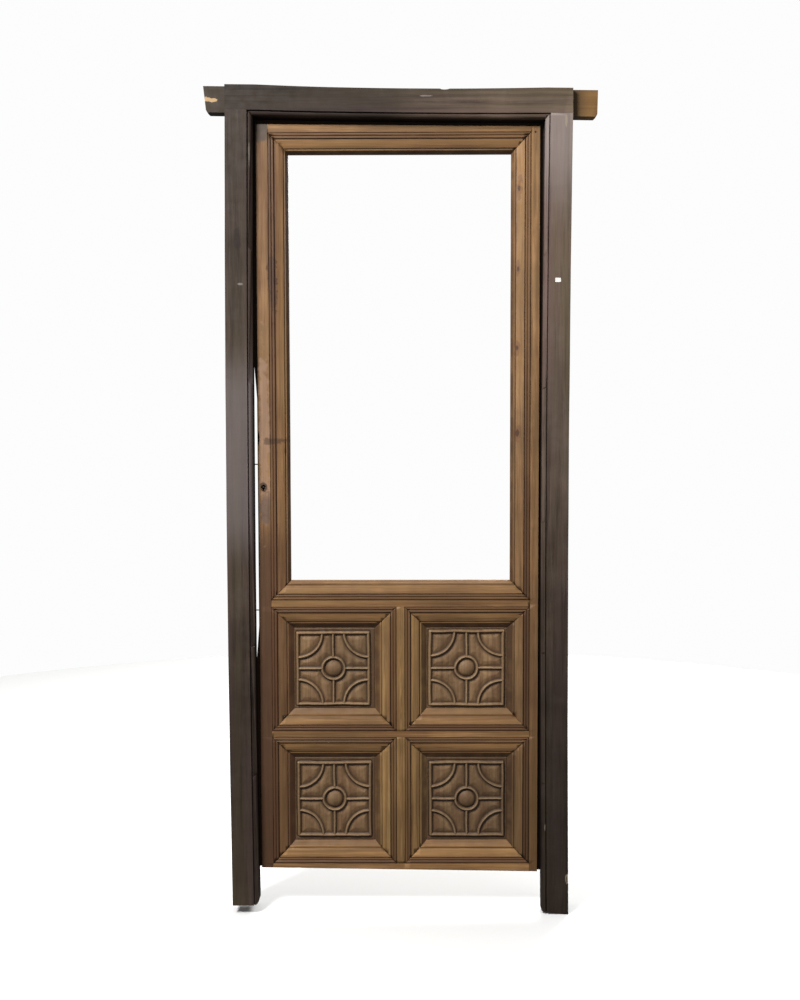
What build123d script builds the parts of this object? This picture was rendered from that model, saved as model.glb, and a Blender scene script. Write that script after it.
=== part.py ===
import os
from math import asin, atan2, cos, degrees, sin

from build123d import *

# A panelled pine door leaf with an open upper light and four carved panels, hung in its own
# timber frame of two jambs and a head. Millimetres. X runs across the door, Y from the face
# towards the back, Z up. The origin is at the middle of the overall box, at the level of the
# lower foot.

# Leaf, across
stile_flat_lock = 32.0
stile_flat_hinge = 22.5
panel_box_width = 347.0
muntin_flat = 21.6
lip_width = 12.0

# Leaf, upwards from the lower line of the lower panels' mouldings
lower_box_height = 358.3
cross_rail_flat = 16.8
upper_box_height = 348.6
middle_rail_flat = 18.0
light_box_height = 1274.0
top_rail_flat = 18.4
bottom_rail_flat = 16.5
lip_rise = 20.0
leaf_top_fall = 8.0
leaf_bottom_fall = 11.0
foot_clearance = 114.5

# Leaf, through its thickness
leaf_thickness = 47.0
lip_recess = 12.5
leaf_setback = 33.0

# Struck moulding round each opening
moulding_width = 53.5
panel_moulding_width = 61.5
moulding_depth = 21.0
reed_width = 6.0
quirk_width = 2.0
quirk_depth = 2.4
reed_rise = 0.8
deep_quirk_depth = 5.0
band_width = 23.5
band_top = 1.6
band_drop = 6.5
fillet_width = 5.0
fillet_step = 2.2
groove_depth = 10.0
groove_width = 10.0
glazing_rebate_width = 10.0
glazing_rebate_depth = 14.0

# Tenons and pegs of the leaf
tenon_length = 26.0
tenon_height = 50.0
tenon_thickness = 12.0
short_tenon_length = 7.0
leaf_peg_diameter = 8.0
leaf_peg_length = 26.0

# Carved panels
panel_thickness = 16.0
tongue_length = 8.0
tongue_recess = 1.0
rim_width = 203.0
rim_height = 206.0
ridge_base = 11.0
ridge_crest = 4.5
ridge_height = 8.0
ring_radius = 31.0
corner_arc_radius = 70.0
boss_radius = 21.0
boss_height = 11.0
ridge_overrun = 2.0

# Frame
jamb_width = 72.5
frame_depth = 80.0
stop_depth = 45.0
rebate_width = 12.0
nosing_radius = 10.0
nosing_drop = 2.0
nosing_quirk_width = 4.0
nosing_quirk_depth = 6.0
head_flat = 66.0
head_fall = 13.0
lock_side_gap = 5.0
hinge_side_gap = 11.0
top_gap = 13.1
jamb_bow = 6.0
horn_left = 60.0
horn_right = 69.0
horn_setback = 18.0
horn_height = 69.5
horn_thickness = 35.0
horn_left_rake = 7.0
horn_right_rake = 1.5
horn_bevel = 6.0
left_foot_lift = 25.0
right_foot_rake = 7.0
foot_corner_radius = 14.0
jamb_tenon_height = 42.0
jamb_tenon_width = 34.0
jamb_tenon_thickness = 22.0
frame_peg_diameter = 10.0
frame_peg_length = 55.0

# Wear that changes the outline
gap_bottom = 690.0
gap_top = 1540.0
gap_taper = 110.0
gap_depth = 8.5
notch_height = 1322.0
notch_length = 48.0
notch_depth = 4.0
head_chip_offset = 123.0
head_chip_length = 24.0
head_chip_height = 2.5
head_chip_depth = 16.0
foot_chip_height = 100.0
foot_chip_length = 26.0
foot_chip_width = 7.0
foot_chip_depth = 6.0
edge_nail_heights = [843.0, 1249.0]
edge_nail_diameter = 3.0
edge_nail_grip = 25.0
edge_nail_reach = 10.0
edge_nail_depth = 10.0

# Hinges
hinge_height = 96.0
hinge_end_distance = 260.0
hinge_plate_width = 34.0
hinge_plate_thickness = 2.5
knuckle_radius = 5.0
knuckle_lift = 0.3
knuckle_gap = 0.3
plate_notch_gap = 0.6
hinge_pin_radius = 2.5
pin_running_clearance = 0.05
pin_cap_radius = 4.4
pin_cap_height = 3.0

# Screws
screw_shank_radius = 2.0
screw_head_radius = 4.2
screw_length = 18.0

# Rim lock, its bolt and the keeper on the jamb
keyhole_inset = 13.0
keyhole_height = 1187.0
keyhole_radius = 6.3
keyhole_slot_width = 5.0
keyhole_slot_drop = 11.0
key_post_radius = 2.3
key_post_setback = 3.0
lock_case_width = 68.0
lock_case_height = 112.0
lock_case_depth = 16.0
lock_case_wall = 2.0
lock_case_margin = 3.5
lock_case_below_keyhole = 42.0
lock_tab_height = 14.0
bolt_above_keyhole = 34.0
bolt_height = 26.0
bolt_thickness = 8.0
bolt_length = 58.0
bolt_clearance = 0.4
talon_width = 16.0
talon_drop = 10.0
talon_notch_width = 7.0
keeper_width = 30.0
keeper_height = 64.0
keeper_wall = 2.5
keeper_clearance = 2.0
keeper_margin = 2.0

os.makedirs("parts", exist_ok=True)

# Places worked out from the sizes
leaf_width = stile_flat_lock + 2 * panel_box_width + muntin_flat + stile_flat_hinge
opening_width = leaf_width + lock_side_gap + hinge_side_gap
frame_width = opening_width + 2 * jamb_width
frame_middle = (horn_left - horn_right) / 2

opening_left = frame_middle - opening_width / 2
opening_right = frame_middle + opening_width / 2
frame_left = opening_left - jamb_width
frame_right = opening_right + jamb_width

face_left = opening_left + lock_side_gap
face_right = opening_right - hinge_side_gap
lip_left = face_left - lip_width
lip_right = face_right + lip_width
box_left = face_left + stile_flat_lock
box_right = face_right - stile_flat_hinge
muntin_left = box_left + panel_box_width
muntin_right = box_right - panel_box_width
leaf_middle = (face_left + face_right) / 2

lower_box_bottom = foot_clearance + bottom_rail_flat
lower_box_top = lower_box_bottom + lower_box_height
upper_box_bottom = lower_box_top + cross_rail_flat
upper_box_top = upper_box_bottom + upper_box_height
light_box_bottom = upper_box_top + middle_rail_flat
light_box_top = light_box_bottom + light_box_height
leaf_top = light_box_top + top_rail_flat
soffit_height = leaf_top + top_gap

strip_width = nosing_radius + nosing_quirk_width
head_flat_line = soffit_height + strip_width
head_top = head_flat_line + head_flat

back_reach = lock_case_depth
front_y = -(frame_depth + back_reach) / 2
leaf_y = front_y + leaf_setback
lip_y = leaf_y + lip_recess
back_y = front_y + frame_depth
leaf_back_y = leaf_y + leaf_thickness


def elevation(y):
    """Upright plane facing the viewer at this depth; extrusions on it run forwards."""
    return Plane.XZ.offset(-y)


def leaf_bottom_at(x):
    return foot_clearance - leaf_bottom_fall * (x - leaf_middle) / leaf_width


def leaf_top_at(x):
    return leaf_top - leaf_top_fall * (x - leaf_middle) / leaf_width


def head_line_at(height, x):
    return height - head_fall * (x - frame_middle) / frame_width


# Struck mouldings. The section runs from the flat towards the opening, with depth below the
# face: two reeds between quirks, a sloping band, a fillet and a steep inner slope.
def draw_moulding_section(is_glazed):
    first_reed = quirk_width
    second_reed = first_reed + reed_width + quirk_width
    deep_quirk = second_reed + reed_width
    band_start = deep_quirk + quirk_width
    band_end = band_start + band_width
    fillet_level = band_top + band_drop + fillet_step
    groove_front = moulding_depth + tongue_recess
    groove_back = groove_front + groove_width
    with BuildLine() as outline:
        reeds = Polyline(
            (0, leaf_thickness),
            (0, 0),
            (quirk_width / 2, quirk_depth),
            (first_reed, reed_rise),
        )
        first = ThreePointArc(
            reeds @ 1,
            (first_reed + reed_width / 2, 0),
            (first_reed + reed_width, reed_rise),
        )
        between = Polyline(
            first @ 1,
            (second_reed - quirk_width / 2, quirk_depth),
            (second_reed, 2 * reed_rise),
        )
        second = ThreePointArc(
            between @ 1,
            (second_reed + reed_width / 2, reed_rise),
            (second_reed + reed_width, 2 * reed_rise),
        )
        quirk = Polyline(
            second @ 1,
            (deep_quirk + quirk_width / 2, deep_quirk_depth),
            (band_start, band_top),
        )
        band = ThreePointArc(
            quirk @ 1,
            (band_start + band_width / 2, band_top + band_drop / 3),
            (band_end, band_top + band_drop),
        )
        inner = Polyline(
            band @ 1,
            (band_end, fillet_level),
            (band_end + fillet_width, fillet_level),
            (moulding_width if is_glazed else panel_moulding_width, moulding_depth),
        )
        if is_glazed:
            Polyline(
                inner @ 1,
                (moulding_width, leaf_thickness - glazing_rebate_depth),
                (moulding_width - glazing_rebate_width, leaf_thickness - glazing_rebate_depth),
                (moulding_width - glazing_rebate_width, leaf_thickness),
                reeds @ 0,
            )
        else:
            Polyline(
                inner @ 1,
                (panel_moulding_width, groove_front),
                (panel_moulding_width - groove_depth, groove_front),
                (panel_moulding_width - groove_depth, groove_back),
                (panel_moulding_width, groove_back),
                (panel_moulding_width, leaf_thickness),
                reeds @ 0,
            )
    make_face(outline.edges())


def moulding_bar(left, right, bottom, top, side, is_glazed=False):
    """One side of the moulding round the box left, right, bottom, top, mitred at both ends."""
    corners = {
        "left": ((left, bottom), (1, 0), (0, 1), top - bottom),
        "right": ((right, top), (-1, 0), (0, -1), top - bottom),
        "top": ((left, top), (0, -1), (1, 0), right - left),
        "bottom": ((right, bottom), (0, 1), (-1, 0), right - left),
    }
    corner, inward, run, length = corners[side]
    width = moulding_width if is_glazed else panel_moulding_width
    section_plane = Plane(
        origin=(corner[0], leaf_y, corner[1]),
        x_dir=(inward[0], 0, inward[1]),
        z_dir=(run[0], 0, run[1]),
    )
    start = Vector(corner[0], corner[1])
    along = Vector(run[0], run[1])
    across = Vector(inward[0], inward[1])
    mitred = [
        start,
        start + along * length,
        start + along * (length - width) + across * width,
        start + along * width + across * width,
    ]
    with BuildPart() as bar:
        with BuildSketch(section_plane):
            draw_moulding_section(is_glazed)
        extrude(amount=length)
        with BuildSketch(elevation(leaf_back_y)):
            Polygon(*[(point.X, point.Y) for point in mitred], align=None)
        extrude(amount=leaf_thickness, mode=Mode.INTERSECT)
    return bar.part


sides = ("left", "right", "top", "bottom")
boxes = {
    "light": (box_left, box_right, light_box_bottom, light_box_top),
    "upper_left": (box_left, muntin_left, upper_box_bottom, upper_box_top),
    "upper_right": (muntin_right, box_right, upper_box_bottom, upper_box_top),
    "lower_left": (box_left, muntin_left, lower_box_bottom, lower_box_top),
    "lower_right": (muntin_right, box_right, lower_box_bottom, lower_box_top),
}
bars = {
    (name, side): moulding_bar(*box, side, is_glazed=(name == "light"))
    for name, box in boxes.items()
    for side in sides
}

# Tenons of the leaf's rails and muntins: (left, right, bottom, top) seen from the front
rail_middles = {
    "rail_top": light_box_top - moulding_width / 2 + top_rail_flat / 2,
    "rail_middle": light_box_bottom - middle_rail_flat / 2,
    "rail_cross": upper_box_bottom - cross_rail_flat / 2,
    "rail_bottom": lower_box_bottom
    + (moulding_width - groove_depth - bottom_rail_flat + leaf_bottom_fall / 2) / 2,
}
rail_tenons = {
    name: [
        (box_left - tenon_length, box_left + moulding_width, z - tenon_height / 2, z + tenon_height / 2),
        (box_right - moulding_width, box_right + tenon_length, z - tenon_height / 2, z + tenon_height / 2),
    ]
    for name, z in rail_middles.items()
}
muntin_middle = (muntin_left + muntin_right) / 2
muntin_tenon_left = muntin_middle - tenon_height / 2
muntin_tenon_right = muntin_middle + tenon_height / 2
muntin_spans = {
    "muntin_upper": (upper_box_bottom, upper_box_top),
    "muntin_lower": (lower_box_bottom, lower_box_top),
}
muntin_tenons = {
    name: [
        (muntin_tenon_left, muntin_tenon_right, bottom - short_tenon_length, bottom + moulding_width),
        (muntin_tenon_left, muntin_tenon_right, top - moulding_width, top + short_tenon_length),
    ]
    for name, (bottom, top) in muntin_spans.items()
}
tenon_back_y = leaf_back_y - (leaf_thickness - moulding_depth - tenon_thickness) / 2


def extrude_block(left, right, bottom, top, block_back_y, depth, mode=Mode.ADD):
    """Block between four lines of the elevation, from its back face forwards."""
    with BuildSketch(elevation(block_back_y)) as outline:
        Polygon((left, bottom), (right, bottom), (right, top), (left, top), align=None)
    extrude(outline.sketch, amount=depth, mode=mode)


def extrude_tenons(tenons, mode=Mode.ADD):
    for left, right, bottom, top in tenons:
        extrude_block(left, right, bottom, top, tenon_back_y, tenon_thickness, mode)


# Pegs of the leaf, driven from the back through each rail's tenons
peg_inset = tenon_length / 2
leaf_peg_lines = (box_left - peg_inset, box_right + peg_inset)
leaf_peg_places = [(x, z) for z in rail_middles.values() for x in leaf_peg_lines]


def extrude_rods(places, radius, rod_back_y, length, mode=Mode.ADD):
    """Round rods along Y at these places of the elevation, from the back face forwards."""
    with BuildSketch(elevation(rod_back_y)) as outline:
        with Locations(*places):
            Circle(radius)
    extrude(outline.sketch, amount=length, mode=mode)


def finish_piece(part, name):
    part.label = name
    export_step(part, f"parts/{name}.step")


def extrude_leaf_board(back_edges, front_edges, top_rise, bottom_at, top_at):
    """Board of the leaf: its back layer reaches into the rebate, its front layer is the face."""
    layers = (
        (back_edges, top_rise, leaf_back_y, leaf_thickness - lip_recess),
        (front_edges, 0, lip_y, lip_recess),
    )
    for (left, right), rise, layer_back_y, depth in layers:
        with BuildSketch(elevation(layer_back_y)) as outline:
            Polygon(
                (left, bottom_at(left)),
                (right, bottom_at(right)),
                (right, top_at(right) + rise),
                (left, top_at(left) + rise),
                align=None,
            )
        extrude(outline.sketch, amount=depth)


# Lock stile, with its share of the mouldings, mortises, the keyhole and the worn outer edge
keyhole_x = face_left + keyhole_inset
with BuildPart() as stile_lock:
    extrude_leaf_board(
        (lip_left, box_left), (face_left, box_left), lip_rise, leaf_bottom_at, leaf_top_at
    )
    for box_name in ("light", "upper_left", "lower_left"):
        add(bars[box_name, "left"])
    for rail_name in rail_middles:
        extrude_tenons(rail_tenons[rail_name][:1], Mode.SUBTRACT)
    extrude_rods(
        [place for place in leaf_peg_places if place[0] < leaf_middle],
        leaf_peg_diameter / 2,
        leaf_back_y,
        leaf_peg_length,
        Mode.SUBTRACT,
    )
    # long worn hollow in the lip, which leaves the see-through gap beside the jamb
    with BuildSketch(elevation(leaf_back_y)):
        Polygon(
            (lip_left, gap_bottom),
            (lip_left, gap_top),
            (lip_left + gap_depth, gap_top - gap_taper),
            (lip_left + gap_depth, gap_bottom + gap_taper),
            align=None,
        )
    extrude(amount=leaf_thickness - lip_recess, mode=Mode.SUBTRACT)
    # worn notch in the arris of the face
    with BuildSketch(elevation(lip_y)):
        with BuildLine():
            Line((face_left, notch_height - notch_length / 2), (face_left, notch_height + notch_length / 2))
            ThreePointArc(
                (face_left, notch_height - notch_length / 2),
                (face_left + notch_depth, notch_height),
                (face_left, notch_height + notch_length / 2),
            )
        make_face()
    extrude(amount=lip_recess, mode=Mode.SUBTRACT)
    # keyhole: a round hole with a slot below it
    with BuildSketch(elevation(leaf_back_y)):
        with Locations((keyhole_x, keyhole_height)):
            Circle(keyhole_radius)
        with Locations((keyhole_x, keyhole_height - keyhole_slot_drop / 2)):
            Rectangle(keyhole_slot_width, keyhole_slot_drop)
    extrude(amount=leaf_thickness, mode=Mode.SUBTRACT)

# Hinge stile
with BuildPart() as stile_hinge:
    extrude_leaf_board(
        (box_right, lip_right), (box_right, face_right), lip_rise, leaf_bottom_at, leaf_top_at
    )
    for box_name in ("light", "upper_right", "lower_right"):
        add(bars[box_name, "right"])
    for rail_name in rail_middles:
        extrude_tenons(rail_tenons[rail_name][1:], Mode.SUBTRACT)
    extrude_rods(
        [place for place in leaf_peg_places if place[0] > leaf_middle],
        leaf_peg_diameter / 2,
        leaf_back_y,
        leaf_peg_length,
        Mode.SUBTRACT,
    )

# Rails, from stile to stile, tenoned into both stiles and mortised for the muntins
rail_ends = (box_left, box_right)
rail_lines = {
    "rail_top": (lambda x: light_box_top, leaf_top_at, lip_rise),
    "rail_middle": (lambda x: upper_box_top, lambda x: light_box_bottom, 0),
    "rail_cross": (lambda x: lower_box_top, lambda x: upper_box_bottom, 0),
    "rail_bottom": (leaf_bottom_at, lambda x: lower_box_bottom, 0),
}
rail_bars = {
    "rail_top": [("light", "top")],
    "rail_middle": [("light", "bottom"), ("upper_left", "top"), ("upper_right", "top")],
    "rail_cross": [
        ("upper_left", "bottom"),
        ("upper_right", "bottom"),
        ("lower_left", "top"),
        ("lower_right", "top"),
    ],
    "rail_bottom": [("lower_left", "bottom"), ("lower_right", "bottom")],
}
rail_mortises = {
    "rail_top": [],
    "rail_middle": muntin_tenons["muntin_upper"][1:],
    "rail_cross": muntin_tenons["muntin_upper"][:1] + muntin_tenons["muntin_lower"][1:],
    "rail_bottom": muntin_tenons["muntin_lower"][:1],
}
rails = {}
for rail_name, (bottom_line, top_line, top_rise) in rail_lines.items():
    with BuildPart() as rail:
        extrude_leaf_board(rail_ends, rail_ends, top_rise, bottom_line, top_line)
        for bar_name in rail_bars[rail_name]:
            add(bars[bar_name])
        extrude_tenons(rail_tenons[rail_name])
        extrude_tenons(rail_mortises[rail_name], Mode.SUBTRACT)
        extrude_rods(
            [place for place in leaf_peg_places if place[1] == rail_middles[rail_name]],
            leaf_peg_diameter / 2,
            leaf_back_y,
            leaf_peg_length,
            Mode.SUBTRACT,
        )
    rails[rail_name] = rail

# Muntins, between the rails
muntin_bars = {
    "muntin_upper": [("upper_left", "right"), ("upper_right", "left")],
    "muntin_lower": [("lower_left", "right"), ("lower_right", "left")],
}
muntins = {}
for muntin_name, (bottom, top) in muntin_spans.items():
    with BuildPart() as muntin:
        extrude_block(muntin_left, muntin_right, bottom, top, leaf_back_y, leaf_thickness)
        for bar_name in muntin_bars[muntin_name]:
            add(bars[bar_name])
        extrude_tenons(muntin_tenons[muntin_name])
    muntins[muntin_name] = muntin

# Pegs of the leaf, flush with its back
with BuildPart() as leaf_pegs:
    extrude_rods(leaf_peg_places, leaf_peg_diameter / 2, leaf_back_y, leaf_peg_length)

# Carved panels. A square rim, four spokes from a ring to the rim, a quarter arc in each corner
# and a dome inside the ring stand on a sunk field; every ridge is a tapered strip.
ridge_taper = degrees(atan2((ridge_base - ridge_crest) / 2, ridge_height))
cap_radius = (boss_radius**2 + boss_height**2) / (2 * boss_height)
cap_angle = degrees(asin(boss_radius / cap_radius))
field_y = leaf_y + moulding_depth
panel_back_y = field_y + panel_thickness
tongue_back_y = field_y + tongue_recess + groove_width


def ridge_plane(centre_x, centre_z):
    return Plane(origin=(centre_x, field_y, centre_z), x_dir=(1, 0, 0), z_dir=(0, -1, 0))


def extrude_ridge(outline):
    extrude(outline.sketch, amount=ridge_height, taper=ridge_taper)


def carve_panel(centre_x, centre_z):
    plane = ridge_plane(centre_x, centre_z)
    half_base = ridge_base / 2
    with BuildSketch(plane) as rim:
        Rectangle(rim_width + ridge_base, rim_height + ridge_base)
        Rectangle(rim_width - ridge_base, rim_height - ridge_base, mode=Mode.SUBTRACT)
    extrude_ridge(rim)
    with BuildSketch(plane) as ring:
        Circle(ring_radius + half_base)
        Circle(ring_radius - half_base, mode=Mode.SUBTRACT)
    extrude_ridge(ring)
    with BuildSketch(plane) as corner_arcs:
        with GridLocations(rim_width, rim_height, 2, 2):
            Circle(corner_arc_radius + half_base)
        with GridLocations(rim_width, rim_height, 2, 2):
            Circle(corner_arc_radius - half_base, mode=Mode.SUBTRACT)
        Rectangle(rim_width + 2 * ridge_overrun, rim_height + 2 * ridge_overrun, mode=Mode.INTERSECT)
    extrude_ridge(corner_arcs)
    spoke_start = ring_radius - ridge_overrun
    side_spoke = rim_width / 2 + ridge_overrun - spoke_start
    upright_spoke = rim_height / 2 + ridge_overrun - spoke_start
    with BuildSketch(plane) as spokes:
        with Locations((spoke_start + side_spoke / 2, 0), (-spoke_start - side_spoke / 2, 0)):
            Rectangle(side_spoke, ridge_base)
        with Locations((0, spoke_start + upright_spoke / 2), (0, -spoke_start - upright_spoke / 2)):
            Rectangle(ridge_base, upright_spoke)
    extrude_ridge(spokes)
    # dome inside the ring, turned about the centre
    with BuildSketch(Plane(origin=plane.origin, x_dir=(1, 0, 0), z_dir=(0, 0, 1))) as dome:
        with BuildLine() as half:
            Polyline((boss_radius, 0), (0, 0), (0, -boss_height))
            CenterArc((0, cap_radius - boss_height), cap_radius, -90, cap_angle)
        make_face(half.edges())
    revolve(dome.sketch, axis=Axis(plane.origin, (0, 1, 0)))


panels = {}
for box_name in ("upper_left", "upper_right", "lower_left", "lower_right"):
    left, right, bottom, top = boxes[box_name]
    opening = (
        left + panel_moulding_width,
        right - panel_moulding_width,
        bottom + panel_moulding_width,
        top - panel_moulding_width,
    )
    centre_x = (left + right) / 2
    centre_z = (bottom + top) / 2
    with BuildPart() as panel:
        extrude_block(*opening, panel_back_y, panel_thickness)
        extrude_block(
            opening[0] - tongue_length,
            opening[1] + tongue_length,
            opening[2] - tongue_length,
            opening[3] + tongue_length,
            tongue_back_y,
            groove_width,
        )
        carve_panel(centre_x, centre_z)
    panels[f"panel_{box_name}"] = panel

# Blanks run past their trimmed ends by this share of their length
end_overrun = 1.01


# Frame. Jambs and head share one section: a flat face, a quirk and a rounded nosing along the
# inner arris, the stop behind it and the rebate at the back. It runs outwards from the opening.
def draw_frame_section(width):
    with BuildLine() as outline:
        nosing = CenterArc((nosing_radius, nosing_drop + nosing_radius), nosing_radius, 180, 90)
        Polyline(
            nosing @ 1,
            (nosing_radius + nosing_quirk_width / 4, nosing_quirk_depth),
            (strip_width - nosing_quirk_width / 4, nosing_quirk_depth),
            (strip_width, 0),
            (width, 0),
            (width, frame_depth),
            (rebate_width, frame_depth),
            (rebate_width, stop_depth),
            (0, stop_depth),
            nosing @ 0,
        )
    make_face(outline.edges())


# Jambs bow towards the lock side: each is turned about a far axis, so that its front and back
# stay flat. Both are cut under the head's flat, with mitred strips at the inner corners.
jamb_span = head_line_at(head_flat_line, frame_left)
jamb_half = jamb_span / 2
bow_radius = (jamb_half**2 + jamb_bow**2) / (2 * jamb_bow)
bow_angle = degrees(asin(jamb_half / bow_radius)) * end_overrun
jamb_inner = {"jamb_left": (opening_left, -1), "jamb_right": (opening_right, 1)}
foot_lines = {
    "jamb_left": (left_foot_lift, left_foot_lift),
    "jamb_right": (right_foot_rake, 0.0),
}
jamb_tenons = {}
for jamb_name, (inner_x, outward) in jamb_inner.items():
    tenon_middle = inner_x + outward * (strip_width + (jamb_width - strip_width) / 2)
    flat_line = head_line_at(head_flat_line, tenon_middle)
    jamb_tenons[jamb_name] = (
        tenon_middle - jamb_tenon_width / 2,
        tenon_middle + jamb_tenon_width / 2,
        flat_line - jamb_tenon_height / 2,
        flat_line + jamb_tenon_height,
    )
jamb_tenon_back_y = front_y + (frame_depth + jamb_tenon_thickness) / 2
frame_peg_places = [
    ((left + right) / 2 + shift, top - jamb_tenon_height / 2)
    for left, right, _, top in jamb_tenons.values()
    for shift in (-jamb_tenon_width / 4, jamb_tenon_width / 4)
]

jambs = {}
for jamb_name, (inner_x, outward) in jamb_inner.items():
    bowed_inner = inner_x - jamb_bow
    section_plane = Plane(
        origin=(bowed_inner, front_y, jamb_half), x_dir=(outward, 0, 0), z_dir=(0, 0, outward)
    )
    bow_axis = Axis((bowed_inner + bow_radius, front_y, jamb_half), (0, 1, 0))
    outer_x = inner_x + outward * jamb_width
    beyond_x = outer_x + outward * jamb_width
    strip_x = inner_x + outward * strip_width
    clear_x = inner_x - outward * jamb_width
    corner_z = head_line_at(soffit_height, inner_x)
    inner_foot, outer_foot = foot_lines[jamb_name]
    foot_slope = (outer_foot - inner_foot) / jamb_width
    with BuildPart() as jamb:
        with BuildSketch(section_plane) as section:
            draw_frame_section(jamb_width)
        revolve(axis=bow_axis, revolution_arc=bow_angle)
        revolve(section.sketch, axis=bow_axis, revolution_arc=-bow_angle)
        with BuildSketch(elevation(back_y)):
            Polygon(
                (clear_x, inner_foot - foot_slope * jamb_width),
                (beyond_x, outer_foot + foot_slope * jamb_width),
                (beyond_x, head_line_at(head_flat_line, beyond_x)),
                (strip_x, head_line_at(head_flat_line, strip_x)),
                (inner_x, corner_z),
                (clear_x, corner_z - jamb_width),
                align=None,
            )
        extrude(amount=frame_depth, mode=Mode.INTERSECT)
        extrude_block(*jamb_tenons[jamb_name], jamb_tenon_back_y, jamb_tenon_thickness)
        extrude_rods(
            [place for place in frame_peg_places if (place[0] - frame_middle) * outward > 0],
            frame_peg_diameter / 2,
            back_y,
            frame_peg_length,
            Mode.SUBTRACT,
        )
        if jamb_name == "jamb_left":
            # rounded inner corner of the foot
            with BuildSketch(elevation(back_y)):
                with BuildLine():
                    corner = CenterArc(
                        (inner_x - foot_corner_radius, left_foot_lift + foot_corner_radius),
                        foot_corner_radius,
                        -90,
                        90,
                    )
                    Polyline(
                        corner @ 1,
                        (inner_x + foot_corner_radius, left_foot_lift + foot_corner_radius),
                        (inner_x + foot_corner_radius, left_foot_lift),
                        corner @ 0,
                    )
                make_face()
            extrude(amount=frame_depth, mode=Mode.SUBTRACT)
        else:
            # splinter lost from the front arris of the foot
            with BuildSketch(elevation(front_y + foot_chip_depth)):
                with Locations((outer_x, foot_chip_height)):
                    Ellipse(foot_chip_width, foot_chip_length / 2)
            extrude(amount=foot_chip_depth, mode=Mode.SUBTRACT)
    jambs[jamb_name] = jamb

# Head, sloping down towards the hinge side. Its horns run on past the jambs, thinner than the
# head and set back from its front, with raked ends and a bevel below.
head_tilt = atan2(head_fall, frame_width)
head_start_x = frame_right + jamb_width
with BuildPart() as head:
    with BuildSketch(
        Plane(
            origin=(head_start_x, front_y, head_line_at(soffit_height, head_start_x)),
            x_dir=(sin(head_tilt), 0, cos(head_tilt)),
            z_dir=(-cos(head_tilt), 0, sin(head_tilt)),
        )
    ):
        draw_frame_section(strip_width + head_flat)
    extrude(amount=frame_width + 2 * jamb_width)
    with BuildSketch(elevation(back_y)):
        Polygon(
            (frame_left, head_line_at(head_top, frame_left) + head_flat),
            (frame_left, head_line_at(head_flat_line, frame_left)),
            (opening_left - strip_width, head_line_at(head_flat_line, opening_left - strip_width)),
            (opening_left, head_line_at(soffit_height, opening_left)),
            (opening_right, head_line_at(soffit_height, opening_right)),
            (opening_right + strip_width, head_line_at(head_flat_line, opening_right + strip_width)),
            (frame_right, head_line_at(head_flat_line, frame_right)),
            (frame_right, head_line_at(head_top, frame_right) + head_flat),
            align=None,
        )
    extrude(amount=frame_depth, mode=Mode.INTERSECT)
    for start_x, reach, rake in (
        (frame_left, -horn_left, horn_left_rake),
        (frame_right, horn_right, horn_right_rake),
    ):
        end_x = start_x + reach
        outward = reach / abs(reach)
        start_top = head_line_at(head_top, start_x)
        end_top = head_line_at(head_top, end_x)
        with BuildSketch(elevation(front_y + horn_setback + horn_thickness)):
            Polygon(
                (start_x, start_top),
                (end_x, end_top),
                (end_x - outward * rake, end_top - horn_height + horn_bevel),
                (end_x - outward * (rake + horn_bevel), end_top - horn_height),
                (start_x, start_top - horn_height),
                align=None,
            )
        extrude(amount=horn_thickness)
    for tenon in jamb_tenons.values():
        extrude_block(*tenon, jamb_tenon_back_y, jamb_tenon_thickness, Mode.SUBTRACT)
    extrude_rods(
        frame_peg_places, frame_peg_diameter / 2, back_y, frame_peg_length, Mode.SUBTRACT
    )
    # small bruise in the top front arris
    chip_x = frame_middle + head_chip_offset
    with BuildSketch(elevation(front_y + head_chip_depth)):
        with Locations((chip_x, head_line_at(head_top, chip_x))):
            Ellipse(head_chip_length / 2, head_chip_height)
    extrude(amount=head_chip_depth, mode=Mode.SUBTRACT)

# Pegs through the head and the jambs' tenons, flush with the back
with BuildPart() as frame_pegs:
    extrude_rods(frame_peg_places, frame_peg_diameter / 2, back_y, frame_peg_length)

# Hinges. Three butt hinges are screwed to the flush backs of leaf and jamb. The frame's plate
# carries the outer two knuckles and the pin, the leaf's plate the middle one.
hinge_axis_x = (lip_right + opening_right - jamb_bow + rebate_width) / 2
hinge_axis_y = back_y + knuckle_lift + knuckle_radius
hinge_middles = {
    "bottom": foot_clearance + hinge_end_distance,
    "middle": (foot_clearance + leaf_top) / 2,
    "top": leaf_top - hinge_end_distance,
}
knuckle_height = (hinge_height - 2 * knuckle_gap) / 3
knuckle_step = knuckle_height + knuckle_gap
screw_rise = hinge_height / 4


def knuckle_plane(z):
    return Plane(origin=(hinge_axis_x, hinge_axis_y, z), x_dir=(1, 0, 0), z_dir=(0, 0, 1))


# Screws. Each is a countersunk head flush with its plate over a plain shank; the same solid
# cuts its seat in the plate and its hole in the timber.
def add_screws(places, head_y, mode=Mode.ADD):
    head_depth = screw_head_radius - screw_shank_radius
    extrude_rods(places, screw_shank_radius, head_y, screw_length, mode)
    with BuildSketch(elevation(head_y)) as heads:
        with Locations(*places):
            Circle(screw_head_radius)
    extrude(heads.sketch, amount=head_depth, taper=45, mode=mode)


def sink_screws(places, head_y):
    add_screws(places, head_y, Mode.SUBTRACT)


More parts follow.
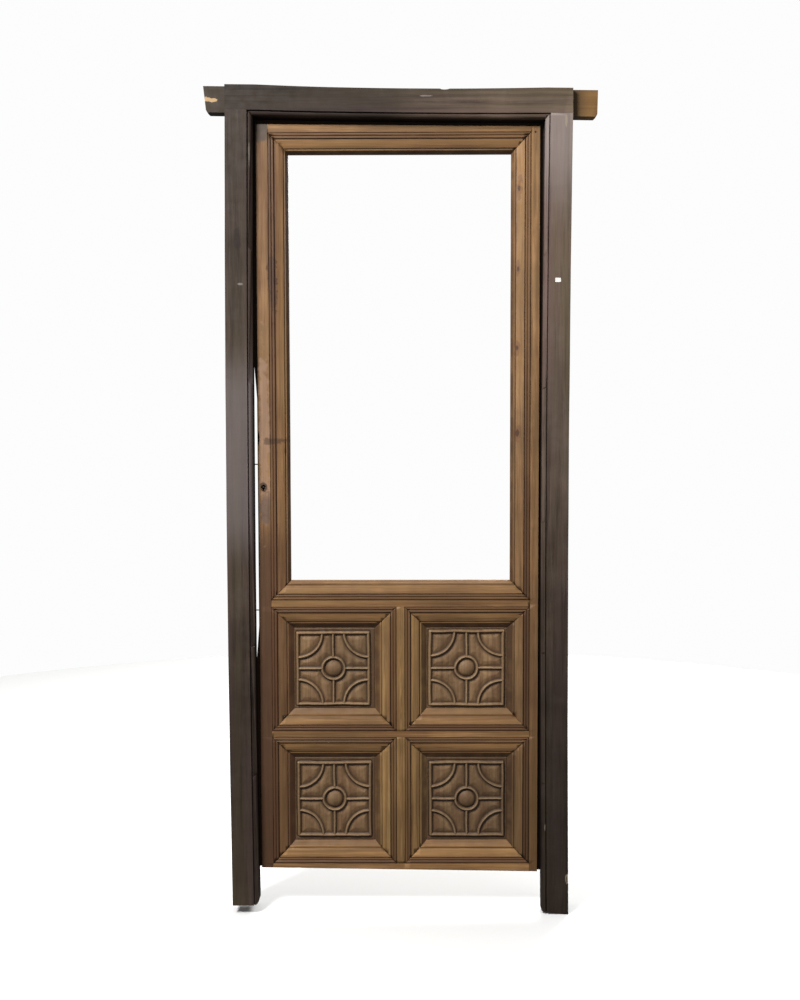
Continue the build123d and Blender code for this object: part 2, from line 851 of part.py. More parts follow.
def make_hinge_plate(middle_z, outward, knuckle_shifts, bore_radius):
    """Plate with its knuckles; it lies on the back, outward from the axis."""
    plate_edge = knuckle_radius + plate_notch_gap
    screws_x = hinge_axis_x + outward * (hinge_plate_width + plate_edge) / 2
    with BuildPart() as plate:
        x_near = hinge_axis_x + outward * plate_edge
        x_far = hinge_axis_x + outward * hinge_plate_width
        bottom = middle_z - hinge_height / 2
        top = middle_z + hinge_height / 2
        plate_back_y = back_y + hinge_plate_thickness
        extrude_block(
            min(x_near, x_far), max(x_near, x_far), bottom, top, plate_back_y, hinge_plate_thickness
        )
        for shift in knuckle_shifts:
            low = middle_z + shift - knuckle_height / 2
            extrude_block(
                min(hinge_axis_x, x_near),
                max(hinge_axis_x, x_near),
                low,
                low + knuckle_height,
                plate_back_y,
                hinge_plate_thickness - knuckle_lift,
            )
            with BuildSketch(knuckle_plane(low)):
                Circle(knuckle_radius)
            extrude(amount=knuckle_height)
        with BuildSketch(knuckle_plane(bottom)):
            Circle(bore_radius)
        extrude(amount=hinge_height, mode=Mode.SUBTRACT)
        sink_screws([(screws_x, middle_z - screw_rise), (screws_x, middle_z + screw_rise)], plate_back_y)
    return plate.part


hinge_middle_list = list(hinge_middles.values())
outer_knuckles = (-knuckle_step, knuckle_step)
hinge_plates = {}
for place, middle_z in hinge_middles.items():
    hinge_plates[f"hinge_frame_plate_{place}"] = make_hinge_plate(
        middle_z, 1, outer_knuckles, hinge_pin_radius
    )
    hinge_plates[f"hinge_leaf_plate_{place}"] = make_hinge_plate(
        middle_z, -1, (0,), hinge_pin_radius + pin_running_clearance
    )

hinge_pins = {}
for place, middle_z in hinge_middles.items():
    with BuildPart() as pin:
        with BuildSketch(knuckle_plane(middle_z - hinge_height / 2)):
            Circle(hinge_pin_radius)
        extrude(amount=hinge_height)
        with BuildSketch(knuckle_plane(middle_z - hinge_height / 2 - pin_cap_height)):
            Circle(pin_cap_radius)
        extrude(amount=pin_cap_height)
        with BuildSketch(knuckle_plane(middle_z + hinge_height / 2)):
            Circle(pin_cap_radius)
        extrude(amount=pin_cap_height)
    hinge_pins[f"hinge_pin_{place}"] = pin

screw_offset = (hinge_plate_width + knuckle_radius + plate_notch_gap) / 2
plate_back_y = back_y + hinge_plate_thickness
hinge_screw_rises = [z + shift for z in hinge_middle_list for shift in (-screw_rise, screw_rise)]
frame_screw_places = [(hinge_axis_x + screw_offset, z) for z in hinge_screw_rises]
leaf_screw_places = [(hinge_axis_x - screw_offset, z) for z in hinge_screw_rises]
with BuildPart() as frame_hinge_screws:
    add_screws(frame_screw_places, plate_back_y)
with BuildPart() as leaf_hinge_screws:
    add_screws(leaf_screw_places, plate_back_y)

# Rim lock on the back of the lock stile: an open-fronted case with a screwed tab at each end,
# its sliding bolt, and the post that a hollow key turns on. The case is closed by the stile.
case_left = lip_left + gap_depth + lock_case_margin
case_right = case_left + lock_case_width
case_bottom = keyhole_height - lock_case_below_keyhole
case_top = case_bottom + lock_case_height
case_back_y = back_y + lock_case_depth
case_middle_x = (case_left + case_right) / 2
case_inside_y = case_back_y - lock_case_wall
bolt_z = keyhole_height + bolt_above_keyhole
bolt_back_y = back_y + (lock_case_depth - lock_case_wall + bolt_thickness) / 2
lock_screw_places = [
    (case_middle_x + across * lock_case_width / 3, z)
    for across in (-1, 1)
    for z in (case_bottom - lock_tab_height / 2, case_top + lock_tab_height / 2)
]
tab_back_y = back_y + lock_case_wall + bolt_clearance
with BuildPart() as lock_case:
    extrude_block(case_left, case_right, case_bottom, case_top, case_back_y, lock_case_depth)
    extrude_block(
        case_left + lock_case_wall,
        case_right - lock_case_wall,
        case_bottom + lock_case_wall,
        case_top - lock_case_wall,
        case_inside_y,
        lock_case_depth - lock_case_wall,
        Mode.SUBTRACT,
    )
    for low in (case_bottom - lock_tab_height, case_top):
        extrude_block(
            case_left, case_right, low, low + lock_tab_height, tab_back_y, lock_case_wall + bolt_clearance
        )
    # slot for the bolt in the edge of the case
    extrude_block(
        case_left,
        case_left + lock_case_wall,
        bolt_z - bolt_height / 2 - bolt_clearance,
        bolt_z + bolt_height / 2 + bolt_clearance,
        bolt_back_y + bolt_clearance,
        bolt_thickness + 2 * bolt_clearance,
        Mode.SUBTRACT,
    )
    # key slot through the back, beside the post
    extrude_block(
        keyhole_x - keyhole_slot_width / 2,
        keyhole_x + keyhole_slot_width / 2,
        keyhole_height - keyhole_radius - keyhole_slot_drop / 2,
        keyhole_height - key_post_radius - lock_case_wall,
        case_back_y,
        lock_case_wall,
        Mode.SUBTRACT,
    )
    sink_screws(lock_screw_places, tab_back_y)

with BuildPart() as key_post:
    extrude_rods(
        [(keyhole_x, keyhole_height)],
        key_post_radius,
        case_inside_y,
        case_inside_y - leaf_y - key_post_setback,
    )

with BuildPart() as lock_screws:
    add_screws(lock_screw_places, tab_back_y)

talon_left = case_left + bolt_length - talon_width - lock_case_wall
with BuildPart() as lock_bolt:
    extrude_block(
        case_left,
        case_left + bolt_length,
        bolt_z - bolt_height / 2,
        bolt_z + bolt_height / 2,
        bolt_back_y,
        bolt_thickness,
    )
    # talon below the bolt, notched for the key
    extrude_block(
        talon_left,
        talon_left + talon_width,
        bolt_z - bolt_height / 2 - talon_drop,
        bolt_z - bolt_height / 2,
        bolt_back_y,
        bolt_thickness,
    )
    extrude_block(
        talon_left + (talon_width - talon_notch_width) / 2,
        talon_left + (talon_width + talon_notch_width) / 2,
        bolt_z - bolt_height / 2 - talon_drop,
        bolt_z - bolt_height / 2,
        bolt_back_y,
        bolt_thickness,
        Mode.SUBTRACT,
    )

# Keeper on the back of the jamb: an iron strap with two screwed feet, bent up into a bridge
# that the bolt shoots under
keeper_left = opening_left - jamb_bow - rebate_width - keeper_margin - keeper_width
keeper_right = keeper_left + keeper_width
keeper_bottom = bolt_z - keeper_height / 2
keeper_foot_y = back_y + keeper_wall
keeper_bridge_y = bolt_back_y + keeper_clearance + keeper_wall
keeper_pocket_reach = bolt_height / 2 + keeper_clearance
keeper_bridge_reach = keeper_pocket_reach + keeper_wall
keeper_screw_places = [
    ((keeper_left + keeper_right) / 2, bolt_z + side * (keeper_height / 2 + keeper_bridge_reach) / 2)
    for side in (-1, 1)
]
with BuildPart() as lock_keeper:
    extrude_block(
        keeper_left, keeper_right, keeper_bottom, keeper_bottom + keeper_height, keeper_foot_y, keeper_wall
    )
    extrude_block(
        keeper_left,
        keeper_right,
        bolt_z - keeper_bridge_reach,
        bolt_z + keeper_bridge_reach,
        keeper_bridge_y,
        keeper_bridge_y - back_y,
    )
    extrude_block(
        keeper_left,
        keeper_right,
        bolt_z - keeper_pocket_reach,
        bolt_z + keeper_pocket_reach,
        bolt_back_y + keeper_clearance,
        bolt_back_y + keeper_clearance - back_y,
        Mode.SUBTRACT,
    )
    sink_screws(keeper_screw_places, keeper_foot_y)
with BuildPart() as keeper_screws:
    add_screws(keeper_screw_places, keeper_foot_y)

# Two old iron nails driven into the worn edge of the leaf; their heads bridge the gap
nail_y = lip_y + edge_nail_depth
nail_end_x = lip_left + gap_depth - edge_nail_reach
edge_nail_names = ("edge_nail_lower", "edge_nail_upper")
edge_nails = {}
for nail_name, nail_z in zip(edge_nail_names, edge_nail_heights):
    with BuildPart() as nail:
        with BuildSketch(Plane(origin=(nail_end_x, nail_y, nail_z), x_dir=(0, 1, 0), z_dir=(1, 0, 0))):
            Circle(edge_nail_diameter / 2)
        extrude(amount=edge_nail_reach + edge_nail_grip)
    edge_nails[nail_name] = nail

# Seats for the nails, the pegs and the screws are cut from the timber that holds them
with stile_lock:
    for nail in edge_nails.values():
        add(nail.part, mode=Mode.SUBTRACT)
    sink_screws(lock_screw_places, tab_back_y)
with stile_hinge:
    sink_screws(leaf_screw_places, plate_back_y)
with jambs["jamb_left"]:
    sink_screws(keeper_screw_places, keeper_foot_y)
with jambs["jamb_right"]:
    sink_screws(frame_screw_places, plate_back_y)

for piece_name, piece in {
    **jambs,
    "head": head,
    "frame_pegs": frame_pegs,
    **hinge_pins,
    "frame_hinge_screws": frame_hinge_screws,
    "lock_keeper": lock_keeper,
    "keeper_screws": keeper_screws,
    "stile_lock": stile_lock,
    "stile_hinge": stile_hinge,
    **rails,
    **muntins,
    **panels,
    "leaf_pegs": leaf_pegs,
    "leaf_hinge_screws": leaf_hinge_screws,
    "lock_case": lock_case,
    "key_post": key_post,
    "lock_screws": lock_screws,
    "lock_bolt": lock_bolt,
    **edge_nails,
}.items():
    finish_piece(piece.part, piece_name)
for plate_name, plate in hinge_plates.items():
    finish_piece(plate, plate_name)
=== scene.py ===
import bpy
import bmesh
import math
import random
from mathutils import Matrix, Vector, noise


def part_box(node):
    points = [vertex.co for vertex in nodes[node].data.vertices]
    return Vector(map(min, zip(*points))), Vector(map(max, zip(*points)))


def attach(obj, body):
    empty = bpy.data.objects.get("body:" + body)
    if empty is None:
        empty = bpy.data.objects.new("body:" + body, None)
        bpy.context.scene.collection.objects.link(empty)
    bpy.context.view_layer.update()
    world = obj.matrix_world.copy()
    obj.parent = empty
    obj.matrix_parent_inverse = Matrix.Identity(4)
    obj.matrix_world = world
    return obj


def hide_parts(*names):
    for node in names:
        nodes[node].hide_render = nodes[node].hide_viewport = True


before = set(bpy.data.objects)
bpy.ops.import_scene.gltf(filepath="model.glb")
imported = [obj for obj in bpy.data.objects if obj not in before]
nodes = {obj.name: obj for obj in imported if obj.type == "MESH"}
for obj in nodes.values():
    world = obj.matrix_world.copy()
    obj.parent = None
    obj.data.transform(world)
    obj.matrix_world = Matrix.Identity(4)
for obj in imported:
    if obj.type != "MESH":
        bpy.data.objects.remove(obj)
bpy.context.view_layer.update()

# The view: the door stands upright and is seen square on from three metres away, a little
# above its middle, as a dealer's photograph shows it.
EYE = (0.0109, -3.0136, 1.3090)
LOOK_DOWN, LOOK_LEFT, LEAN = 0.0528, 0.0048, -0.0021


def put_in_scene(name, data):
    """A new object at the scene's origin."""
    made = bpy.data.objects.new(name, data)
    bpy.context.scene.collection.objects.link(made)
    return made


camera_data = bpy.data.cameras.new("studio_camera")
camera_data.lens = 39.3
camera_data.sensor_width = 36.0
camera = put_in_scene("studio_camera", camera_data)
camera.matrix_world = (
    Matrix.Translation(EYE)
    @ Matrix.Rotation(LOOK_LEFT, 4, "Z")
    @ Matrix.Rotation(math.pi / 2 - LOOK_DOWN, 4, "X")
    @ Matrix.Rotation(LEAN, 4, "Z")
)
bpy.context.scene.camera = camera
bpy.context.scene.view_settings.view_transform = "Standard"

# Left jamb: an upright of old pine tenoned into the head, stained nearly black and long since
# greyed by dust and handling. It bows a little to the left, its front arris carries a small
# round nosing behind a quirk, and its foot was sawn shorter than the other's.
STOP_LEFT, STOP_RIGHT = -0.39755, 0.38855
NOSING_BACK = -0.0365
NOSING_WIDTH = 0.0140
FRAME_TONES = ((0.020, 0.013, 0.009), (0.054, 0.037, 0.027), (0.094, 0.068, 0.051))
FRONT_HALF = 0.006


def wire(tree, kind, feeds=None, **settings):
    """One node of a material: its settings, and a number, colour or output for its sockets."""
    made = tree.nodes.new(kind)
    for key, value in settings.items():
        setattr(made, key, value)
    for socket, value in (feeds or {}).items():
        if isinstance(value, bpy.types.NodeSocket):
            tree.links.new(value, made.inputs[socket])
        else:
            made.inputs[socket].default_value = value
    return made


def reckon(tree, operation, *terms):
    """What one operation makes of one, two or three terms."""
    return wire(tree, "ShaderNodeMath", dict(enumerate(terms)), operation=operation).outputs[0]


def plus(tree, total, *terms):
    for term in terms:
        total = reckon(tree, "ADD", total, term)
    return total


def minus(tree, value, term):
    return reckon(tree, "SUBTRACT", value, term)


def times(tree, product, *terms):
    for term in terms:
        product = reckon(tree, "MULTIPLY", product, term)
    return product


def across_corner(tree, one_side, other_side):
    """The third side of a right-angled triangle."""
    squares = plus(tree, times(tree, one_side, one_side), times(tree, other_side, other_side))
    return reckon(tree, "SQRT", squares)


def between(tree, value, low, high, to_low=0.0, to_high=1.0):
    """The value's place between two limits, held inside them."""
    feeds = {"Value": value, "From Min": low, "From Max": high, "To Min": to_low, "To Max": to_high}
    made = wire(tree, "ShaderNodeMapRange", feeds, interpolation_type="SMOOTHSTEP")
    return made.outputs["Result"]


def lay_over(tree, share, under, over, kind="MIX"):
    """One colour over another, by a share from 0 to 1."""

    def solid(colour):
        return (*colour, 1.0) if isinstance(colour, tuple) else colour

    feeds = {0: share, 6: solid(under), 7: solid(over)}
    return wire(tree, "ShaderNodeMix", feeds, data_type="RGBA", blend_type=kind).outputs[2]


def speckle(tree, place, scale, detail=3.0, rough=0.5, twist=0.0):
    """Noise from 0 to 1 at a place."""
    feeds = {
        "Vector": place,
        "Scale": scale,
        "Detail": detail,
        "Roughness": rough,
        "Distortion": twist,
    }
    return wire(tree, "ShaderNodeTexNoise", feeds).outputs[0]


def ramp(tree, value, *stops):
    """A run of greys or colours along a value."""
    made = wire(tree, "ShaderNodeValToRGB", {"Fac": value})
    band = made.color_ramp
    while len(band.elements) < len(stops):
        band.elements.new(0.5)
    for element, (place, tone) in zip(band.elements, stops):
        element.position = place
        element.color = (*tone, 1.0) if isinstance(tone, tuple) else (tone, tone, tone, 1.0)
    return made.outputs["Color"]


def uneven_surface(tree, feeds, height, strength, depth):
    """The shader of a material, fed with its colour and gloss, over a fine unevenness."""
    bump = wire(tree, "ShaderNodeBump", {"Height": height, "Strength": strength, "Distance": depth})
    shader = wire(tree, "ShaderNodeBsdfPrincipled", {**feeds, "Normal": bump.outputs[0]})
    wire(tree, "ShaderNodeOutputMaterial", {"Surface": shader.outputs[0]})


class OldTimber:
    """A surface of sawn and planed softwood under old finish, with the grain along X or Z."""

    RING_WIDTH = 0.0032
    PITH_DEPTH = 0.05
    SQUEEZE_ALONG = 0.035

    def __init__(self, name, grain, tones, seed, contrast=1.0):
        self.material = bpy.data.materials.new(name)
        self.material.use_nodes = True
        self.tree = self.material.node_tree
        tree = self.tree
        tree.nodes.clear()
        self.place = wire(tree, "ShaderNodeTexCoord").outputs["Object"]
        split = wire(tree, "ShaderNodeSeparateXYZ", {0: self.place})
        self.x, self.y, self.z = split.outputs[0], split.outputs[1], split.outputs[2]
        self.along, across = (self.z, self.x) if grain == "Z" else (self.x, self.z)
        # the length of the board is squeezed, so that noise stretches along the grain
        feeds = {
            0: plus(tree, across, seed * 0.37),
            1: plus(tree, self.y, seed * 0.73),
            2: times(tree, self.along, self.SQUEEZE_ALONG),
        }
        self.fibre_place = wire(tree, "ShaderNodeCombineXYZ", feeds).outputs[0]
        self.streak = speckle(tree, self.fibre_place, 85.0, 4.0, 0.55)
        self.blotch = speckle(tree, self.place, 5.5, 4.0, 0.55, 0.3)
        self.mottle = speckle(tree, self.place, 38.0, 4.0, 0.6)
        fibre = speckle(tree, self.fibre_place, 520.0, 2.0, 0.6)
        # the rings lie round a pith behind the board, pale early wood against dark late wood
        drift = times(tree, minus(tree, speckle(tree, self.fibre_place, 9.0, 2.0), 0.5), 0.07)
        aside = plus(tree, across, drift, seed * 0.013 % 0.05 - self.PITH_DEPTH * 0.4)
        from_pith = across_corner(tree, aside, plus(tree, self.y, -self.PITH_DEPTH))
        waver = times(tree, speckle(tree, self.fibre_place, 60.0, 3.0), 0.0035)
        years = reckon(tree, "DIVIDE", plus(tree, from_pith, waver), self.RING_WIDTH)
        season = reckon(tree, "FRACT", years)
        rings = ramp(tree, season, (0.0, 0.62), (0.55, 0.48), (0.82, 0.12), (0.93, 0.05), (1.0, 0.62))
        figure = plus(
            tree,
            times(tree, rings, 0.20 * contrast),
            times(tree, self.streak, 0.55 * contrast),
            times(tree, fibre, 0.30 * contrast),
        )
        centre, spread = 0.48 * contrast, 0.26 * contrast
        share = between(tree, figure, centre - spread, centre + spread)
        dark, middle, light = tones
        self.colour = ramp(tree, share, (0.0, dark), (0.5, middle), (1.0, light))
        self.brighten(between(tree, self.blotch, 0.3, 0.72, 0.72, 1.18))
        self.bump = plus(tree, times(tree, fibre, 0.5), times(tree, self.streak, 0.6))
        self.rough = between(tree, self.mottle, 0.25, 0.8, 0.50, 0.74)

    def brighten(self, value):
        grey = wire(self.tree, "ShaderNodeCombineColor", {0: value, 1: value, 2: value}).outputs[0]
        self.colour = lay_over(self.tree, 1.0, self.colour, grey, "MULTIPLY")

    def shade_along(self, low, high, *stops):
        """Brightness along the piece: painted light, shade and sheen as the light falls, over tone the
        finish has aged to.
        """
        soft = plus(self.tree, self.along, times(self.tree, self.blotch, 0.12 * (high - low)))
        feeds = {"Value": soft, "From Min": low, "From Max": high}
        share = wire(self.tree, "ShaderNodeMapRange", feeds).outputs["Result"]
        # a ramp's tones end at 1, so it carries half the brightness
        halves = ramp(self.tree, share, *((place, bright / 2.0) for place, bright in stops))
        self.brighten(times(self.tree, halves, 2.0))

    def ragged(self, amount):
        """How far an uneven line strays to either side."""
        return times(self.tree, minus(self.tree, self.mottle, 0.5), amount)

    def veil(self, mask, colour):
        """Another tone over the wood, where the mask lets it lie."""
        self.colour = lay_over(self.tree, mask, self.colour, colour)

    def patch(self, place, half_size, colour, strength, raggedness, front=FRONT_HALF):
        """A stain, knot or bare spot at a place of the front, with a ragged edge."""
        tree = self.tree
        off_x = reckon(tree, "DIVIDE", minus(tree, self.x, place[0]), half_size[0])
        off_z = reckon(tree, "DIVIDE", minus(tree, self.z, place[1]), half_size[1])
        far = plus(tree, across_corner(tree, off_x, off_z), self.ragged(2.6 * raggedness))
        mask = between(tree, far, 1.12, 0.72, 0.0, strength)
        on_front = between(tree, self.y, front + 0.004, front)
        self.veil(times(tree, mask, on_front), colour)

    def wander(self, colour, strength, width, low=0.42, high=0.66):
        """Long streaks of another tone, drawn out along the grain."""
        streaks = speckle(self.tree, self.fibre_place, width, 3.0, 0.6, 0.4)
        self.veil(between(self.tree, streaks, low, high, 0.0, strength), colour)

    def pores(self, amount, colour, scale=(190.0, 0.72, 0.80)):
        """Short dark checks and worm tracks along the grain."""
        size, low, high = scale
        spots = speckle(self.tree, self.fibre_place, size, 2.0, 0.7)
        mask = between(self.tree, spots, low, high, 0.0, amount)
        self.veil(mask, colour)
        self.bump = minus(self.tree, self.bump, times(self.tree, mask, 0.8))

    def finish(self, bump_height=0.0004, specular=0.25):
        feeds = {
            "Base Color": self.colour,
            "Roughness": self.rough,
            "Specular IOR Level": specular,
        }
        uneven_surface(self.tree, feeds, self.bump, 0.7, bump_height)
        return self.material


# the same wear and the same waver of the gouge in every run
noise.seed_set(7)
SHARP_EDGE, BEVELLED_EDGE = math.radians(28.0), math.radians(25.0)
SHADED_SHARP = math.radians(38.0)
SHORTEST_ARRIS = 0.012
WIDE_FACE, NARROW_FACE = 0.004, 0.0012


def face_width(face):
    return face.calc_area() / max(edge.calc_length() for edge in face.edges)


def long_arrises(bm):
    """The sharp edges that get rounded: those between wide faces, and those beside a narrow one."""
    bold, fine = [], []
    for edge in bm.edges:
        if len(edge.link_faces) != 2 or edge.calc_face_angle(0.0) < SHARP_EDGE:
            continue
        if edge.calc_length() < SHORTEST_ARRIS:
            continue
        room = min(face_width(face) for face in edge.link_faces)
        if room > WIDE_FACE:
            bold.append(edge)
        elif room > NARROW_FACE:
            fine.append(edge)
    return bold, fine


def ease_edges(bm, edges, width):
    """Round these edges over, as years of hands and brooms do."""
    bmesh.ops.bevel(
        bm,
        geom=edges,
        offset=width,
        segments=2,
        profile=0.5,
        affect="EDGES",
        material=-1,
        clamp_overlap=True,
    )


def wear(vert, seed, dents):
    """How far use has moved a point: every face wavers, and the arrises have lost small bites."""
    moved = noise.noise_vector(vert.co * 7.0) * 0.00025
    seams = [edge for edge in vert.link_edges if len(edge.link_faces) == 2]
    if any(edge.calc_face_angle(0.0) > BEVELLED_EDGE for edge in seams):
        bite = max(0.0, noise.noise(vert.co * 31.0 + Vector((seed, 0, 0))) - 0.12)
        moved -= vert.normal * bite * dents
    return moved


def mesh_from(bm, name):
    mesh = bpy.data.meshes.new(name)
    bm.to_mesh(mesh)
    bm.free()
    return mesh


def worn_copy(
    node, name, body, material, along, *, arris, station=0.016, dents=0.00198, sag=(0.0, 0.0), seed=0
):
    """A copy of a timber with its doubles merged, its arrises eased and its length cut into
    stations, so that wear and its own weight can move it. The sag is given below and above."""
    bm = bmesh.new()
    bm.from_mesh(nodes[node].data)
    bmesh.ops.remove_doubles(bm, verts=bm.verts, dist=1e-6)
    bmesh.ops.recalc_face_normals(bm, faces=bm.faces)
    bmesh.ops.dissolve_limit(bm, angle_limit=math.radians(0.2), verts=bm.verts, edges=bm.edges)
    bold, fine = long_arrises(bm)
    ease_edges(bm, bold, arris)
    ease_edges(bm, [edge for edge in fine if edge.is_valid], arris * 0.3)
    low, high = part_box(node)
    axis = {"X": Vector((1, 0, 0)), "Z": Vector((0, 0, 1))}[along]
    start, end = low.dot(axis), high.dot(axis)
    chance = random.Random(seed)
    steps = max(2, int((end - start) / station))
    for step in range(1, steps):
        cut = start + (end - start) * (step + 0.5 * (chance.random() - 0.5)) / steps
        everything = bm.verts[:] + bm.edges[:] + bm.faces[:]
        bmesh.ops.bisect_plane(bm, geom=everything, plane_co=axis * cut, plane_no=axis, dist=1e-5)
    bm.normal_update()
    places = []
    for vert in bm.verts:
        share = (vert.co.z - low.z) / (high.z - low.z)
        arch = max(0.0, 1.0 - (vert.co.x / STOP_RIGHT) ** 2)
        droop = (sag[0] + (sag[1] - sag[0]) * share) * arch
        places.append(vert.co + wear(vert, seed, dents) - Vector((0.0, 0.0, droop)))
    # nothing leaves the timber's own box, and front and back stay a hair inside it
    hair = Vector((0.0, 0.0001, 0.0))
    least, most = low + hair, high - hair
    for vert, place in zip(bm.verts, places):
        vert.co = [min(max(place[i], least[i]), most[i]) for i in range(3)]
    mesh = mesh_from(bm, name)
    mesh.shade_smooth()
    mesh.set_sharp_from_angle(angle=SHADED_SHARP)
    mesh.materials.append(material)
    piece = put_in_scene(name, mesh)
    evened = piece.modifiers.new("evened_normals", "WEIGHTED_NORMAL")
    evened.keep_sharp = True
    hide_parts(node)
    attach(piece, body)


def stained_timber(name, grain, seed):
    """Near-black stained pine of the frame, purple-brown and olive in turn, greyed by dust."""
    timber = OldTimber(name, grain, FRAME_TONES, seed, contrast=0.9)
    tree = timber.tree
    timber.wander((0.062, 0.048, 0.028), 0.60, 22.0)
    timber.wander((0.072, 0.045, 0.040), 0.55, 31.0)
    timber.wander((0.016, 0.011, 0.009), 0.45, 60.0, 0.50, 0.72)
    dust = between(tree, speckle(tree, timber.place, 14.0, 5.0, 0.6), 0.50, 0.78, 0.0, 0.22)
    timber.veil(dust, (0.105, 0.086, 0.074))
    timber.pores(0.8, (0.014, 0.009, 0.007))
    timber.pores(0.6, (0.016, 0.010, 0.008), (95.0, 0.66, 0.76))
    return timber


def blacken_reveal(timber, from_opening):
    """The reveal behind the nosing lies in shade that no cloth reaches: it is painted nearly black, painted
    shade over old dirt.
    """
    behind = between(timber.tree, timber.y, NOSING_BACK, NOSING_BACK + 0.006)
    beside = between(timber.tree, from_opening, NOSING_WIDTH, NOSING_WIDTH - 0.001)
    timber.veil(times(timber.tree, behind, beside, 0.88), (0.009, 0.006, 0.005))


left_jamb_timber = stained_timber("stained_pine_jamb_left", "Z", 3.0)
# painted light and shade down the jamb, with a painted sheen brightest about hand height
left_jamb_timber.shade_along(
    0.0, 2.26, (0.0, 1.45), (0.12, 0.78), (0.32, 0.74), (0.45, 1.05), (0.60, 1.12), (0.78, 0.74), (1.0, 0.55)
)
# a painted grey sheen at the height of a hand, with a dark stain, a scuff and a pale run higher up
tree, height = left_jamb_timber.tree, left_jamb_timber.z
painted_grey_sheen = times(tree, between(tree, height, 0.94, 1.12, 0.0, 0.45), between(tree, height, 1.60, 1.42))
left_jamb_timber.veil(painted_grey_sheen, (0.170, 0.142, 0.138))
left_jamb_timber.patch((-0.4404, 1.851), (0.011, 0.030), (0.016, 0.011, 0.010), 0.65, 0.7)
left_jamb_timber.patch((-0.4334, 1.736), (0.009, 0.0035), (0.26, 0.24, 0.23), 0.45, 0.8)
left_jamb_timber.patch((-0.4060, 2.085), (0.0022, 0.030), (0.16, 0.15, 0.12), 0.55, 0.8)
blacken_reveal(left_jamb_timber, minus(tree, STOP_LEFT, left_jamb_timber.x))
left_jamb_finish = left_jamb_timber.finish(0.0005, 0.12)
worn_copy("jamb_left", "left_jamb", "frame", left_jamb_finish, "Z", arris=0.0020, seed=1)

# Right jamb: the fellow of the left one, of the same stained pine and tenoned as that one is.
# It is painted lighter and redder towards its top, with a painted sheen there, and the outer arris of
# its foot has lost a chip.
right_jamb_timber = stained_timber("stained_pine_jamb_right", "Z", 11.0)
# painted light and shade up the jamb: dark low down and bright at the top
right_jamb_timber.shade_along(
    0.0, 2.26, (0.0, 0.55), (0.3, 0.55), (0.5, 0.98), (0.68, 1.40), (0.82, 1.80), (0.95, 1.7), (1.0, 1.7)
)
tree = right_jamb_timber.tree
# a painted sheen over the top of the jamb
painted_sheen_at_top = between(tree, right_jamb_timber.z, 1.86, 2.12, 0.0, 0.62)
streaky = between(tree, right_jamb_timber.streak, 0.2, 0.6, 0.7, 1.0)
right_jamb_timber.veil(times(tree, painted_sheen_at_top, streaky), (0.270, 0.220, 0.205))
# a pale run near the top, a nick in the stop low down, and the chipped foot
right_jamb_timber.patch((0.4430, 2.165), (0.0030, 0.020), (0.30, 0.25, 0.17), 0.55, 0.8)
right_jamb_timber.patch((0.3956, 0.2436), (0.0018, 0.010), (0.34, 0.26, 0.23), 0.45, 0.8)
right_jamb_timber.patch((0.4560, 0.100), (0.005, 0.014), (0.36, 0.28, 0.20), 0.75, 0.6, front=-0.040)
right_stop_edge = STOP_RIGHT - 0.004
blacken_reveal(right_jamb_timber, minus(tree, right_jamb_timber.x, right_stop_edge))
right_jamb_finish = right_jamb_timber.finish(0.0005, 0.15)
worn_copy("jamb_right", "right_jamb", "frame", right_jamb_finish, "Z", arris=0.0020, seed=2)

# Head: the cross-piece of the same stained pine, mortised over the tenons of both jambs. Its
# ends run on past them as horns, the left one with a splinter torn off, the right one left
# almost bare. It has sagged a little in its middle.
SOFFIT_HEIGHT, HEAD_FALL = 2.1782, 0.01396
LEFT_HORN, RIGHT_HORN = -0.4700, 0.4625
SPLINTERED_WOOD = (0.34, 0.22, 0.11)
opening_middle = (STOP_LEFT + STOP_RIGHT) / 2
head_timber = stained_timber("stained_pine_head", "X", 19.0)
# painted light and sheen along the head: dark at the left, bright towards the right end
head_timber.shade_along(
    -0.53, 0.53, (0.0, 0.42), (0.055, 0.38), (0.3, 0.44), (0.55, 0.66), (0.8, 1.50), (1.0, 1.9)
)
tree = head_timber.tree
below_level = -SOFFIT_HEIGHT - opening_middle * HEAD_FALL
fallen = reckon(tree, "MULTIPLY_ADD", head_timber.x, HEAD_FALL, below_level)
blacken_reveal(head_timber, plus(tree, head_timber.z, fallen))
bare_end = between(tree, head_timber.x, RIGHT_HORN, RIGHT_HORN + 0.0015)
bare_wood = lay_over(tree, head_timber.streak, (0.085, 0.042, 0.016), (0.25, 0.140, 0.052))
head_timber.veil(bare_end, bare_wood)
# a painted shadow on the bare horn beside the head's front
painted_shadow_by_beam = between(tree, head_timber.x, RIGHT_HORN + 0.05, RIGHT_HORN, 0.0, 0.85)
head_timber.veil(times(tree, bare_end, painted_shadow_by_beam), (0.045, 0.030, 0.018))
stained_end = between(tree, head_timber.x, LEFT_HORN, LEFT_HORN - 0.0012, 0.0, 0.7)
head_timber.veil(stained_end, (0.038, 0.029, 0.019))
# the torn splinter, and a pale scratch near the middle
head_timber.patch((-0.5170, 2.2290), (0.020, 0.0034), SPLINTERED_WOOD, 0.90, 2.4)
head_timber.patch((-0.5270, 2.2310), (0.005, 0.0060), SPLINTERED_WOOD, 0.85, 1.8)
head_timber.patch((0.0657, 2.2321), (0.018, 0.0018), (0.24, 0.21, 0.20), 0.5, 0.8)
head_finish = head_timber.finish(0.0005, 0.12)
head_sag = (0.0018, 0.0065)
worn_copy("head", "head_beam", "frame", head_finish, "X", arris=0.0018, sag=head_sag, seed=3)

